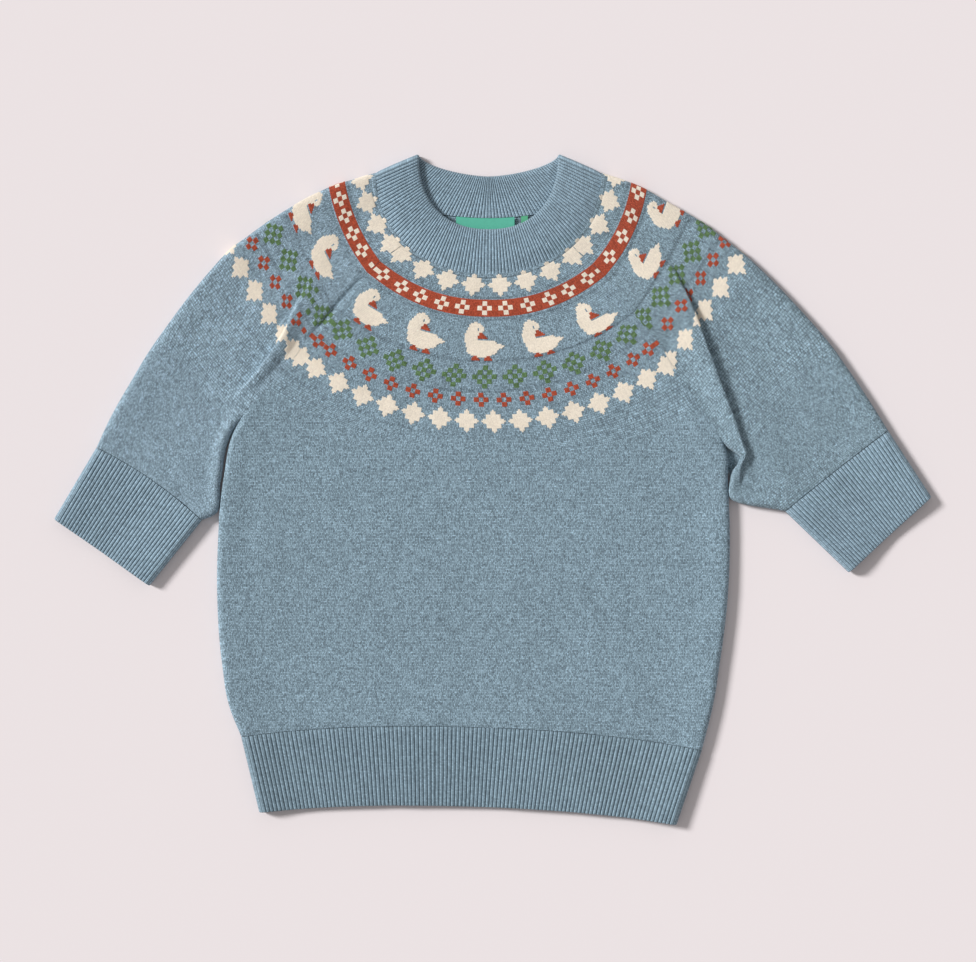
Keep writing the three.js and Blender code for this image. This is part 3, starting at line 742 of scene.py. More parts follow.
def hem_grid(upper):
    """Points and stitches of the front or the back of the hem."""
    courses = np.linspace(0, 1, RIB_ROWS)
    down = courses[:, None]
    if upper:
        points, _, t = upper_grid(HEM, [0, 1], courses, HEM_RIBS * RIB_STEPS)
    else:
        points, t = lower_grid(HEM, [0, 1], courses, 4 * UNDER_HEM_RIBS)
    side = np.minimum(t, 1 - t)
    if upper:
        x, y = points[..., 0], points[..., 1]
        phase = t * HEM_RIBS + 0.04 * soft_noise(t * 300, down * 20, 6, 1)
        relief = rib_relief(phase, down) * smooth(side * 60)
        relief += 0.5 * soft_noise(x, y * 0.3, 30, 3) * smooth(side * 20)
        relief += 0.35 * soft_noise(x, y * 0, 17, 4) * down
        points[..., 2] += relief - RIB_SEAM_SINK * hump(down * RIB_LENGTH, 0, 1.2)
    else:
        phase = t * UNDER_HEM_RIBS
        points[..., 2] += RIB_DEPTH * 0.5 * (1 - rib_ridge(phase)) * smooth(side * 40)
    return points, marks(phase, down * RIB_LENGTH) + RIB_ORIGIN


def edge_ease(distance, length):
    """0 at both side edges and 1 on the level stretch between them."""
    return np.sin(np.clip(np.minimum(distance, length - distance) / EDGE_RADIUS, 0, 1) * math.pi / 2)


def cuff_grid(sections):
    """Points and stitches of a cuff: the upper layer, and then the lower one back to the seam."""
    courses = np.linspace(0, 1, RIB_ROWS)
    down = courses[:, None]
    s = sections_at(sections, [0, 1], courses)
    seam = plan_line(s["seam_x"], s["seam_y"])
    top = plan_line(s["top_x"], s["top_y"])
    length = np.linalg.norm(top - seam, axis=-1)
    count = CUFF_RIBS * RIB_STEPS
    roll = roll_steps(UPPER_ROLL_STEPS)
    turn = column_turns(roll, count)
    up_d = edge_shares(length, roll, count) * length
    down_d = up_d[:, ::-1][:, 1:]
    up_z = np.where(
        turn < math.pi / 2,
        SIDE_SEAM + (REST + EDGE_BULGE - SIDE_SEAM) * np.sin(turn),
        REST + bulge(np.minimum(up_d, length - up_d)))
    down_z = SIDE_SEAM - (SIDE_SEAM - CUFF_UNDER) * np.sin(turn[:, 1:]) + length * 0
    upper = bowed_point(seam, top, s["bow"] + up_d * 0, up_d)
    lower = bowed_point(seam, top, s["bow"] + down_d * 0, down_d)
    ribs = CUFF_RIBS + 3
    up_phase = up_d / length * ribs
    down_phase = ribs * (2 - down_d / length)
    edge = edge_ease(up_d, length)
    up_z = up_z + rib_relief(up_phase, down) * edge
    up_z = up_z + 0.4 * soft_noise(upper[..., 0], upper[..., 1], 24, 3) * smooth(edge)
    up_z = up_z + 0.3 * soft_noise(up_d, up_d * 0, 12, 4) * down
    up_z = up_z - RIB_SEAM_SINK * hump(down * RIB_LENGTH, 0, 1.2) * edge
    down_z = down_z + RIB_DEPTH * (1 - rib_ridge(down_phase)) * edge_ease(down_d, length)
    points = np.concatenate([raised(upper, up_z), raised(lower, down_z)], 1)
    phase = np.concatenate([up_phase, down_phase], 1)
    return points, marks(phase, down * RIB_LENGTH) + RIB_ORIGIN


# Meshes from grids

def grid_normals(points, flip):
    """The outward direction at each point of a grid."""
    down = np.gradient(points, axis=0)
    across = np.gradient(points, axis=1)
    normals = np.cross(down, across)
    normals /= np.maximum(np.linalg.norm(normals, axis=2, keepdims=True), 1e-9)
    return -normals if flip else normals


def zip_sides(outer, inner):
    """Triangles between two lines of points that run the same way, with different counts."""
    faces = []
    i = j = 0
    while i < len(outer) - 1 or j < len(inner) - 1:
        next_outer = (i + 1) / (len(outer) - 1)
        next_inner = (j + 1) / (len(inner) - 1)
        if j == len(inner) - 1 or (i < len(outer) - 1 and next_outer <= next_inner):
            faces.append((outer[i + 1], outer[i], inner[j]))
            i += 1
        else:
            faces.append((outer[i], inner[j], inner[j + 1]))
            j += 1
    return faces


def grid_faces(ids):
    """Four-sided faces of a grid of point numbers."""
    corners = [ids[:-1, :-1], ids[1:, :-1], ids[1:, 1:], ids[:-1, 1:]]
    return np.stack(corners, -1).reshape(-1, 4).tolist()


def shell(name, points, stitches, wall, flip, steps, curled=0):
    """A closed wall: a fine outer side, a plain inner one and rims between them.

    curled is how many of the last courses bend round the open edge and have no inner side.
    """
    rows, columns = points.shape[:2]
    normals = grid_normals(points, flip)
    inner_rows = thin_out(rows - curled, steps[0])
    inner_columns = thin_out(columns, steps[1])
    pick = np.ix_(inner_rows, inner_columns)
    inside = points[pick] - normals[pick] * wall
    inside[..., 2] = np.maximum(inside[..., 2], UNDER / 2)
    outer_ids = np.arange(rows * columns).reshape(rows, columns)
    inner_ids = np.arange(inside.shape[0] * inside.shape[1]).reshape(inside.shape[:2]) + rows * columns
    faces = grid_faces(outer_ids)
    faces += [face[::-1] for face in grid_faces(inner_ids)]
    sides = [
        (outer_ids[:, 0], inner_ids[:, 0]),
        (outer_ids[-1, :], inner_ids[-1, :]),
        (outer_ids[::-1, -1], inner_ids[::-1, -1]),
        (outer_ids[0, ::-1], inner_ids[0, ::-1]),
    ]
    for outer, inner in sides:
        faces += zip_sides(outer.tolist(), inner.tolist())
    if flip:
        faces = [face[::-1] for face in faces]
    everything = np.concatenate([points.reshape(-1, 3), inside.reshape(-1, 3)])
    uv = np.concatenate([stitches.reshape(-1, 2), stitches[pick].reshape(-1, 2)])
    return mesh_object(name, everything, faces, uv)


def thin_out(count, step):
    """Every so many of a count of rows, always with the first and the last."""
    chosen = list(range(0, count - 1, step))
    if count - 1 - chosen[-1] < step / 2 and len(chosen) > 1:
        chosen.pop()
    return chosen + [count - 1]


def curl_end(points, stitches, flip):
    """Adds courses that bend round the open edge of a cuff or hem."""
    radius = RIB_CLOTH / 2
    normals = grid_normals(points, flip)[-1]
    along = points[-1] - points[-2]
    along /= np.linalg.norm(along, axis=1, keepdims=True)
    rows = [points]
    for turn in np.radians(np.linspace(0, 180, CURL_STEPS + 1)[1:]):
        bend = along * math.sin(turn) - normals * (1 - math.cos(turn))
        rows.append((points[-1] + bend * radius)[None])
    added = [stitches[-1:] + np.array([0, 0.5 * (i + 1)]) for i in range(CURL_STEPS)]
    return np.concatenate(rows), np.concatenate([stitches, *added])


def mesh_object(name, points, faces, uv):
    """A smooth mesh piece in the frame, with its stitches as a UV map."""
    mesh = bpy.data.meshes.new(name)
    mesh.from_pydata(((points - OUTLINE_MIDDLE) * MM).tolist(), [], faces)
    mesh.update()
    corners = np.empty(len(mesh.loops), np.int32)
    mesh.loops.foreach_get("vertex_index", corners)
    layer = mesh.uv_layers.new(name="stitch")
    layer.data.foreach_set("uv", uv[corners].astype(np.float32).ravel())
    mesh.polygons.foreach_set("use_smooth", np.ones(len(mesh.polygons), bool))
    mesh.set_sharp_from_angle(angle=math.radians(60))
    piece = placed(name, mesh)
    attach(piece, "root")
    return piece


# Neckband: one folded rib that turns over at both sides of the neck

def band_section(seam, edge, middle, outward, ridge, under, sink):
    """Points round the band's stations: outer face, folded edge and inner face."""
    half = BAND / 2
    length = np.linalg.norm(edge - seam, axis=-1)
    along = raised((edge - seam) / length[:, None], length * 0)
    seam = raised(seam, middle)
    shares = np.linspace(0, 1, 10)
    gathers = gathered(shares * BAND_LENGTH, 1.5)
    rows = []
    for share, gather in zip(shares, gathers):
        arch = 0.35 * math.sin(math.pi * share) - sink * hump(share * BAND_LENGTH, 0, 6)
        lift = half + arch * (1 - under) + ridge * RIB_CREST * gather - mix(RIB_DEPTH, RIB_CREST, under)
        rows.append((share * (length - half), lift))
    for turn in np.radians([60, 30, 0, -30, -60]):
        reach = half + (ridge - 1) * 0.35
        rows.append((length - half + reach * math.cos(turn), reach * math.sin(turn)))
    for share, gather in zip(shares[::-1], gathers[::-1]):
        rows.append((share * (length - half), -half + (RIB_DEPTH - ridge * RIB_CREST * gather) * under))
    return np.stack([seam + along * run[:, None] + outward * lift[:, None] for run, lift in rows], 1)


def half_ring(seam_oval, edge_oval, start, end, ribs, middle, way):
    """The band over half the neck, and its ribs. way is 1 for the front and -1 for the back."""
    angles = even_angles(seam_oval, start, end, ribs * RIB_STEPS)
    phase = np.arange(len(angles)) / RIB_STEPS
    level = np.ones(len(angles))
    outward = level[:, None] * (0, 0, way)
    sink = BAND_SINK * smooth(np.sin(angles) / 0.5)
    seam, edge = oval_point(seam_oval, angles), oval_point(edge_oval, angles)
    under = level * (1 - way) / 2
    return band_section(seam, edge, level * middle, outward, rib_ridge(phase), under, sink), phase


def turn_over(seam_oval, angle, turns):
    """The band where it turns over between front and back at one side of the neck, and its ribs."""
    outward = np.stack([turns * 0, np.cos(turns), np.sin(turns)], -1)
    radius = (FRONT_BAND_MIDDLE - BACK_BAND_MIDDLE) / 2
    seam, edge = (
        oval_point(oval, turns * 0 + angle) + outward[:, :2] * radius for oval in (seam_oval, EDGE_FRONT))
    middle = BACK_BAND_MIDDLE + radius * (1 + outward[:, 2])
    shares = np.linspace(0, 1, len(turns) + 2)[1:-1]
    under = shares if turns[0] > 0 else shares[::-1]
    return band_section(seam, edge, middle, outward, rib_ridge(2 * shares), under, 0.0), 2 * shares


def drawn_in(oval):
    """A seam's half oval, short of the panels' edge."""
    return {**oval, "reach": oval["reach"] - SEAM_INSET, "drop": oval["drop"] - SEAM_INSET}


def neckband():
    front, back = drawn_in(SEAM_FRONT), drawn_in(SEAM_BACK)
    turns = np.radians(np.linspace(75, -75, 13))
    start, end = BAND_TURN_ANGLE, math.pi - BAND_TURN_ANGLE
    parts = [
        half_ring(front, EDGE_FRONT, start, end, BAND_RIBS_FRONT, FRONT_BAND_MIDDLE, 1),
        turn_over(front, end, turns),
        half_ring(back, EDGE_BACK, math.pi, 0, BAND_RIBS_BACK, BACK_BAND_MIDDLE, -1),
        turn_over(front, start, turns[::-1]),
    ]
    points, phase = (np.concatenate(column) for column in zip(*parts))
    x, y, z = np.moveaxis(points, -1, 0)
    points[..., 2] += 0.3 * soft_noise(x, y, 22, 3) * smooth((z - 1.5) / 4)
    ids = np.arange(points.shape[0] * points.shape[1]).reshape(points.shape[:2])
    ring = np.pad(ids, (0, 1), mode="wrap")
    uv = marks(phase[:, None], np.arange(points.shape[1]) * 2.6) + RIB_ORIGIN
    return mesh_object("neckband_knit", points.reshape(-1, 3), grid_faces(ring), uv.reshape(-1, 2))


def label_piece(name, left, width, length):
    """A woven label that hangs from the back neck seam on the inside of the back."""
    down = np.linspace(0, 1, 14)[:, None]
    x = left + width * np.linspace(0, 1, 41)[None, :] + down * 0
    angle = np.vectorize(lambda place: oval_angle(SEAM_BACK, place))(x)
    seam_y = oval_point(SEAM_BACK, angle)[..., 1]
    y = mix(seam_y - SEAM_GAP, seam_y - length, down)
    z = LABEL_HEIGHT + 0.25 * np.sin(down * math.pi) + 0.12 * soft_noise(x, y, 7, 2)
    return shell(name, np.stack([x, y, z], -1), marks(x, y), LABEL, True, (4, 4))


# Motifs, charted in stitches across and courses up from their middle

def dot(x, y):
    return {(x + i, y + j) for i in (-1, 0, 1) for j in (-1, 0, 1)}


def flower(centres):
    cells = set()
    for x, y in centres:
        cells |= dot(x, y)
    return cells


def star():
    """A square with a long narrow point on each side."""
    span = range(-7, 8)
    square = {(x, y) for x in span for y in span if max(abs(x), abs(y)) <= 4}
    points = {(x, y) for x in span for y in span if min(abs(x), abs(y)) <= 1 and abs(x) + abs(y) <= 7}
    return square | points


def oval_cells(x, y, reach, rise, lean=0.0):
    """Stitches inside an oval, which may lean to the right."""
    span = range(-16, 17)
    return {
        (i, j) for i in span for j in span
        if ((i - x - lean * (j - y)) / reach) ** 2 + ((j - y) / rise) ** 2 <= 1
    }


def taper_cells(x0, x1, y, half):
    """Stitches of a wedge that narrows from x0 to a point at x1."""
    return {
        (x, j) for x in range(min(x0, x1), max(x0, x1) + 1) for j in range(-16, 17)
        if abs(j - y) <= half * (x1 - x) / (x1 - x0)
    }


def heap(x, y, rows, length):
    """Rows of stitches on top of each other, each one shorter than the row below."""
    return {(x + i, y + j) for j in range(rows) for i in range(j // 2, length - j)}


def goose():
    """A plump goose that looks over its back: body, tail, curved neck and head, with beak and feet."""
    bird = oval_cells(-1.0, -5.0, 9.7, 5.6)
    bird |= oval_cells(-8.1, 0.6, 4.1, 8.0, -0.06)
    bird |= oval_cells(-5.3, 7.6, 4.6, 4.5)
    bird |= oval_cells(2.6, -2.4, 5.4, 3.4)
    bird |= taper_cells(4, 13, -3.4, 4.2)
    eye = {(-4, 7), (-4, 8)}
    beak = heap(-4, 2, 4, 6)
    feet = heap(-6, -12, 3, 5) | heap(2, -12, 3, 5)
    return bird - eye - beak - feet, beak | feet


SMALL_FLOWER = flower([(3, 0), (-3, 0), (0, 3), (0, -3)])
LARGE_FLOWER = flower([(0, 0), (3, 3), (3, -3), (-3, 3), (-3, -3), (6, 0), (-6, 0), (0, 6), (0, -6)])
GOOSE_BODY, GOOSE_TRIM = goose()
MOTIFS = {
    "star": {"cream": star()},
    "band_flower": {"cream": SMALL_FLOWER},
    "goose": {"cream": GOOSE_BODY, "rust": GOOSE_TRIM},
    "leaf": {"green": LARGE_FLOWER},
    "bud": {"rust": SMALL_FLOWER},
    "leaf_part": {"green": flower([(-3, 6), (0, 0), (3, -6)])},
    "bud_part": {"rust": flower([(0, 3), (3, 0), (0, -3)])},
    "dot": {"cream": dot(0, 0)},
    "red_dot": {"rust": dot(0, 0)},
}
BAND_HALF = 5

# Rings of the yoke: motif, middle course, and how much the course drops for each mm to the right
RINGS = {
    "small_stars": ("star", 7.3, 0.0),
    "band": ("band_flower", 22.2, 0.0),
    "geese": ("goose", 43.8, 0.0),
    "leaves": ("leaf", 66.8, 0.02),
    "buds": ("bud", 81.7, 0.018),
    "large_stars": ("star", 95.7, 0.006),
}
# Motifs of each panel along its rings: first place, spacing and count. Places are lengths of cloth
# from the middle of the front and the back, and from the front raglan on a sleeve.
STATIONS = {
    "front": [
        ("small_stars", -60.4, 17.2, 8), ("band", -71.7, 14.1, 11), ("geese", -77.4, 38.1, 5),
        ("leaves", -111.9, 15.1, 1), ("leaves", -96.8, 19.8, 11),
        ("buds", -114.8, 9.9, 1), ("buds", -104.9, 14.9, 15), ("buds", 116.0, 9.9, 1),
        ("large_stars", -128.0, 12.4, 1), ("large_stars", -115.6, 17.5, 14), ("large_stars", 127.4, 12.4, 1),
    ],
    "right_sleeve": [
        ("small_stars", 4.9, 15.6, 8), ("band", 13.4, 12.1, 11), ("geese", 25.8, 32.0, 5),
        ("leaves", 2.6, 22.4, 2), ("leaves", 45.5, 19.7, 7), ("buds", 28.5, 14.5, 12),
        ("large_stars", 3.9, 14.6, 2), ("large_stars", 35.2, 17.4, 10),
    ],
    "left_sleeve": [
        ("small_stars", 5.2, 16.9, 8), ("band", 11.1, 15.2, 9), ("geese", 31.0, 34.0, 5),
        ("leaves", 2.4, 18.3, 10), ("buds", 12.2, 14.5, 2), ("buds", 39.5, 13.9, 11),
        ("large_stars", -0.5, 17.4, 13),
    ],
    "back": [
        ("small_stars", -51.6, 17.2, 7), ("band", -70.5, 14.1, 11), ("geese", -76.2, 38.1, 5),
        ("leaves", -99.0, 19.8, 11), ("buds", -119.2, 14.9, 17), ("large_stars", -122.5, 17.5, 15),
    ],
}
# Parts of motifs that a seam or fold cuts: ring, part and place
CUT_MOTIFS = {
    "front": [
        ("band", "dot", -77.4), ("band", "dot", 77.8),
        ("buds", "red_dot", -120.6), ("buds", "red_dot", 122.6),
    ],
    "right_sleeve": [
        ("band", "dot", 1.4), ("buds", "red_dot", 5.0), ("buds", "bud_part", 14.5),
        ("leaves", "leaf_part", 14.4),
    ],
    "left_sleeve": [],
    "back": [],
}

# Further drop of a sleeve's ring for each mm of place
TILTS = {
    ("right_sleeve", "buds"): -0.03, ("right_sleeve", "large_stars"): -0.03,
    ("left_sleeve", "geese"): -0.04, ("left_sleeve", "leaves"): -0.015,
    ("left_sleeve", "buds"): -0.05, ("left_sleeve", "large_stars"): -0.045,
}

# Panels whose places run the other way round the yoke
MIRRORED = ("right_sleeve", "back")

# One V-shaped stitch: two leaning legs, each with four corners and a raised middle
STITCH_CORNERS = np.array([
    (0.0, -0.14), (0.0, 0.94), (-0.6, -0.02), (-0.6, 1.08),
    (0.6, -0.02), (0.6, 1.08), (-0.3, 0.47), (0.3, 0.47),
])
STITCH_LIFT = np.array([0.14, 0.12, 0.05, 0.05, 0.05, 0.05, 0.42, 0.42])
# Lift of the stitches that end at a seam
SEAM_LIFT = 0.3
FIRST_COURSE = 0.3
# Courses up and down over which the cloth's own gauge is measured
GAUGE_REACH = 3
STITCH_FACES = np.array([
    (0, 6, 2), (2, 6, 3), (3, 6, 1), (1, 6, 0), (0, 4, 7), (4, 5, 7), (5, 1, 7), (1, 0, 7),
])


class Cloth:
    """A panel's outer side, to knit motifs on. Places are by cloth length along a course."""

    def __init__(self, points, courses, flip, zero, edge):
        self.points = points
        self.courses = courses
        self.flip = flip
        self.normals = grid_normals(points, flip)
        self.lengths = lengths_from(points, zero)
        near, far = np.abs(self.lengths[:, 0]), np.abs(self.lengths[:, edge])
        self.reaches = [np.where(near < 1, far, near), far]

    def scale(self, course, place):
        """The reach of a course on that side of its middle, which places along it are shares of."""
        left, right = (np.interp(course, self.courses, reach) for reach in self.reaches)
        return np.where(place < 0, left, right)

    def lay(self, length, course, lift):
        """Points at these lengths and courses, lifted off the cloth."""
        row = np.clip(np.searchsorted(self.courses, course, side="right") - 1, 0, len(self.courses) - 2)
        share = (course - self.courses[row]) / (self.courses[row + 1] - self.courses[row])
        made = np.zeros((len(length), 3))
        for r in np.unique(row):
            chosen = row == r
            for k, weight in ((r, 1 - share[chosen]), (r + 1, share[chosen])):
                for axis in range(3):
                    place = np.interp(length[chosen], self.lengths[k], self.points[k, :, axis])
                    normal = np.interp(length[chosen], self.lengths[k], self.normals[k, :, axis])
                    made[chosen, axis] += weight * (place + normal * lift[chosen])
        return made


def course_gauge(cloth, place, course):
    """How many mm of cloth one course of the table takes up at a place."""
    share = place / cloth.scale(course, place)
    above, below = (
        cloth.lay(share * cloth.scale(near, place), near, np.zeros(len(place)))
        for near in (course - GAUGE_REACH, course + GAUGE_REACH))
    return np.linalg.norm(below - above, axis=1) / (2 * GAUGE_REACH)


def motif_places(panel):
    """A panel's motifs: ring, motif, places along the ring, and the course's drop for each mm of place."""
    for ring, first, spacing, count in STATIONS[panel]:
        motif, _, slant = RINGS[ring]
        yield ring, motif, first + spacing * np.arange(count), slant + TILTS.get((panel, ring), 0)
    for ring, motif, place in CUT_MOTIFS[panel]:
        yield ring, motif, np.array([place]), RINGS[ring][2]


def motif_cells(cloth, panel):
    """Stitches of a panel by yarn: rows of share along the ring, middle course, gauge, column and row."""
    yarns = {"cream": [], "rust": [], "green": []}
    way = -1 if panel in MIRRORED else 1
    for ring, motif, places, slant in motif_places(panel):
        if ring == "band":
            continue
        middle = RINGS[ring][1] + slant * places
        shares = places / cloth.scale(middle, places)
        gauges = course_gauge(cloth, places, middle)
        for yarn, cells in MOTIFS[motif].items():
            for share, centre, gauge in zip(shares, middle, gauges):
                yarns[yarn] += [(share, centre, gauge, way * x, y) for x, y in sorted(cells)]
    band_cells(cloth, panel, yarns)
    return yarns


def band_cells(cloth, panel, yarns):
    """The rust band: a full ring of stitches, with a cream flower at each of its places."""
    course = RINGS["band"][1]
    row = np.searchsorted(cloth.courses, course)
    start, end = cloth.lengths[row][[0, -1]]
    count = round((end - start) / STITCH)
    columns = start + (np.arange(count) + 0.5) * (end - start) / count
    gauges = course_gauge(cloth, columns, np.full(count, course))
    cream = set()
    for ring, motif, places, _ in motif_places(panel):
        if ring == "band":
            for place in places:
                nearest = round((place - columns[0]) / STITCH)
                cream |= {(nearest + x, y) for x, y in MOTIFS[motif]["cream"]}
    for number, (place, gauge) in enumerate(zip(columns, gauges)):
        for y in range(-BAND_HALF, BAND_HALF + 1):
            yarn = "cream" if (number, y) in cream else "rust"
            yarns[yarn].append((place / cloth.scale(course, place), course, gauge, 0, y))


def stitch_mesh(name, cloth, cells):
    """All the stitches of one yarn on one panel, as one mesh that lies on the cloth."""
    share, middle, gauge, column, row = (a[:, None] for a in np.array(cells, float).T)
    corner_x, corner_y = STITCH_CORNERS.T
    course = middle - (row - 0.5 + corner_y) * COURSE / gauge
    course = np.maximum(course, FIRST_COURSE)
    length = share * cloth.scale(course, share) + (column + corner_x) * STITCH
    lowest = np.interp(course, cloth.courses, cloth.lengths[:, 0])
    highest = np.interp(course, cloth.courses, cloth.lengths[:, -1])
    inside = (length.max(1) > lowest[:, 0] + 0.05) & (length.min(1) < highest[:, 0] - 0.05)
    pinned = ((length < lowest) | (length > highest))[inside]
    length = np.clip(length, lowest, highest)[inside]
    course, column, row = course[inside], column[inside], row[inside]
    lift = np.where(pinned, SEAM_LIFT, STITCH_LIFT)
    points = cloth.lay(length.ravel(), course.ravel(), lift.ravel())
    starts = np.arange(len(length)) * len(STITCH_CORNERS)
    faces = (starts[:, None, None] + STITCH_FACES).reshape(-1, 3)
    if cloth.flip:
        faces = faces[:, ::-1]
    u = column + corner_x + 0.5 + np.floor(share[inside] * 997)
    v = 0.8 - row - corner_y + middle[inside]
    return mesh_object(name, points, faces.tolist(), marks(u, v).reshape(-1, 2) + RIB_ORIGIN)


# Materials

class Nodes:
    """Short calls that add shader nodes and join them."""

    def __init__(self, name):
        self.material = bpy.data.materials.new(name)
        self.material.use_nodes = True
        self.tree = self.material.node_tree
        self.shader = self.tree.nodes["Principled BSDF"]

    def add(self, kind, **settings):
        node = self.tree.nodes.new(kind)
        for key, value in settings.items():
            setattr(node, key, value)
        return node

    def feed(self, socket, value):
        if isinstance(value, bpy.types.NodeSocket):
            self.tree.links.new(value, socket)
        else:
            socket.default_value = value

    def fill(self, node, *values):
        """Feeds a node's inputs in order, and gives its first output."""
        for socket, value in zip(node.inputs, values):
            self.feed(socket, value)
        return node.outputs[0]

    def math(self, operation, a, b=0.0, c=0.0):
        return self.fill(self.add("ShaderNodeMath", operation=operation), a, b, c)

    def product(self, a, b):
        return self.math("MULTIPLY", a, b)

    def joined(self, x, y):
        return self.fill(self.add("ShaderNodeCombineXYZ"), x, y)

    def noise(self, vector, scale, detail=2.0):
        node = self.add("ShaderNodeTexNoise")
        for name, value in (("Vector", vector), ("Scale", scale), ("Detail", detail)):
            self.feed(node.inputs[name], value)
        return node.outputs["Fac"]

    def ramp(self, factor, low, high, start, end):
        return self.fill(self.add("ShaderNodeMapRange"), factor, low, high, start, end)

    def spread(self, factor, source, low, amount):
        """The factor, made uneven by a source that runs from low to 1 - low."""
        return self.product(factor, self.ramp(source, low, 1 - low, 1 - amount, 1 + amount))

    def tint(self, colour, factor):
        """Gives the surface a colour made lighter or darker by a factor."""
        node = self.add("ShaderNodeVectorMath", operation="SCALE")
        self.feed(node.inputs[0], colour)
        self.feed(node.inputs["Scale"], factor)
        self.feed(self.shader.inputs["Base Color"], node.outputs[0])

    def finish(self, sockets):
        """Sets the shader's own sockets that are the same all over."""
        for name, value in sockets.items():
            self.shader.inputs[name].default_value = value

    def bump(self, strength, distance, height):
        node = self.add("ShaderNodeBump")
        for name, value in (("Strength", strength), ("Distance", distance), ("Height", height)):
            self.feed(node.inputs[name], value)
        self.feed(self.shader.inputs["Normal"], node.outputs[0])


def linear(red, green, blue):
    """A colour given as seen, 0 to 255, as the shader's linear numbers."""
    return tuple(((value / 255 + 0.055) / 1.055) ** 2.4 for value in (red, green, blue))


def knit_material(name, colour, fleck, painted_stitch_shade, furrow=0.0, dark_courses=()):
    """Wool knit: V-shaped stitches in bump and in painted shade, heathered yarn, loose fibres and a soft
    sheen.
    """
    n = Nodes(name)
    uv = n.add("ShaderNodeUVMap", uv_map="stitch").outputs[0]
    split = n.add("ShaderNodeSeparateXYZ")
    n.feed(split.inputs[0], uv)
    u, v = split.outputs[0], split.outputs[1]
    across = n.math("ABSOLUTE", n.math("SUBTRACT", n.math("FRACT", u), 0.5))
    leg = n.math("MULTIPLY_ADD", across, 0.8, v)
    ridge = n.math("SINE", n.product(across, 2 * math.pi))
    swell = n.math("SINE", n.product(n.math("FRACT", leg), math.pi))
    height = n.product(ridge, n.math("MULTIPLY_ADD", swell, 0.55, 0.45))
    random = n.add("ShaderNodeTexWhiteNoise", noise_dimensions="2D")
    half_stitch = n.joined(n.math("FLOOR", n.product(u, 2.0)), n.math("FLOOR", leg))
    n.feed(random.inputs["Vector"], half_stitch)
    place = n.add("ShaderNodeTexCoord").outputs["Object"]
    fibre = n.noise(place, 1900, 3)
    heather = n.noise(place, 1000)
    cloud = n.noise(place, 22)
    yarn = n.noise(n.joined(n.product(u, 0.11), n.product(v, 0.9)), 1.0)
    # Painted shade and highlight of the stitches: the colour darkens in the hollows between the legs and
    # lightens on their crests
    factor = n.ramp(height, 0, 1, 1 - painted_stitch_shade, 1 + painted_stitch_shade * 0.55)
    factor = n.spread(factor, random.outputs["Value"], 0, fleck)
    factor = n.spread(factor, fibre, 0.3, fleck * 0.5)
    factor = n.spread(factor, heather, 0.3, fleck * 0.5)
    factor = n.spread(factor, yarn, 0.3, fleck * 0.3)
    factor = n.spread(factor, cloud, 0.3, 0.025)
    # Darker bands along the listed courses
    for course, half, dark in dark_courses:
        gap = n.math("ABSOLUTE", n.math("SUBTRACT", v, course + STITCH_ORIGIN))
        gap = n.math("ADD", gap, n.ramp(heather, 0.3, 0.7, -0.5 * half, 0.5 * half))
        factor = n.product(factor, n.ramp(gap, 0.4 * half, 1.4 * half, 1 - dark, 1.0))
    # Painted shade: a rib's furrows are darker
    if furrow:
        factor = n.product(factor, n.ramp(across, 0.26, 0.5, 1.0, 1 - furrow))
    n.tint(colour, factor)
    n.finish({"Roughness": 0.92, "Specular IOR Level": 0.15, "Sheen Weight": 0.12, "Sheen Roughness": 0.5})
    n.bump(0.8, 0.0003, n.math("MULTIPLY_ADD", fibre, 0.5, height))
    return n.material


def woven_material(name, colour):
    """Satin label: fine close weave with a gentle shine."""
    n = Nodes(name)
    place = n.add("ShaderNodeTexCoord").outputs["Object"]
    split = n.add("ShaderNodeSeparateXYZ")
    n.feed(split.inputs[0], place)
    warp = n.math("SINE", n.product(split.outputs[0], 14000.0))
    weft = n.math("SINE", n.product(split.outputs[1], 9000.0))
    weave = n.product(warp, weft)
    factor = n.product(n.ramp(weave, -1, 1, 0.95, 1.04), n.ramp(n.noise(place, 300), 0.3, 0.7, 0.97, 1.03))
    n.tint(colour, factor)
    n.finish({"Roughness": 0.55, "Sheen Weight": 0.1})
    n.bump(0.4, 0.00005, weave)
    return n.material


# Blue of each panel as seen, with the same flecks and painted stitch shade on all of them; the right
# sleeve's blue is painted lighter
BLUES_WITH_PAINTED_LIGHT = {
    "front": (152, 177, 192), "back": (152, 177, 192),
    # Painted light: the right sleeve's blue is lighter, for the brighter light on that sleeve
    "right_sleeve": (159, 184, 200), "left_sleeve": (152, 177, 191),
}
PANEL_FLECK = 0.44
PANEL_SHADE = 0.85
# Other yarns: colour as seen, flecks, stitch shade, and for ribs the shade of the furrows
MOTIF_YARNS = {
    "cream": ((254, 243, 226), 0.07, 0.18),
    "rust": ((188, 87, 61), 0.26, 0.36),
    "green": ((106, 138, 94), 0.28, 0.36),
}
RIB_YARNS = {
    "rib": ((146, 170, 185), 0.20, 0.35, 0.38),
    "band": ((150, 174, 189), 0.20, 0.35, 0.22),
    "hem": ((132, 154, 167), 0.20, 0.30, 0.30),
}


def declare(pieces, motifs):
    """Files the size tab under the neck label, in the table of pieces that lie on others."""
    motifs["neck_label"] = [pieces["size_tab"]]


# The pieces

def dress(piece, material):
    piece.data.materials.append(material)
    return piece


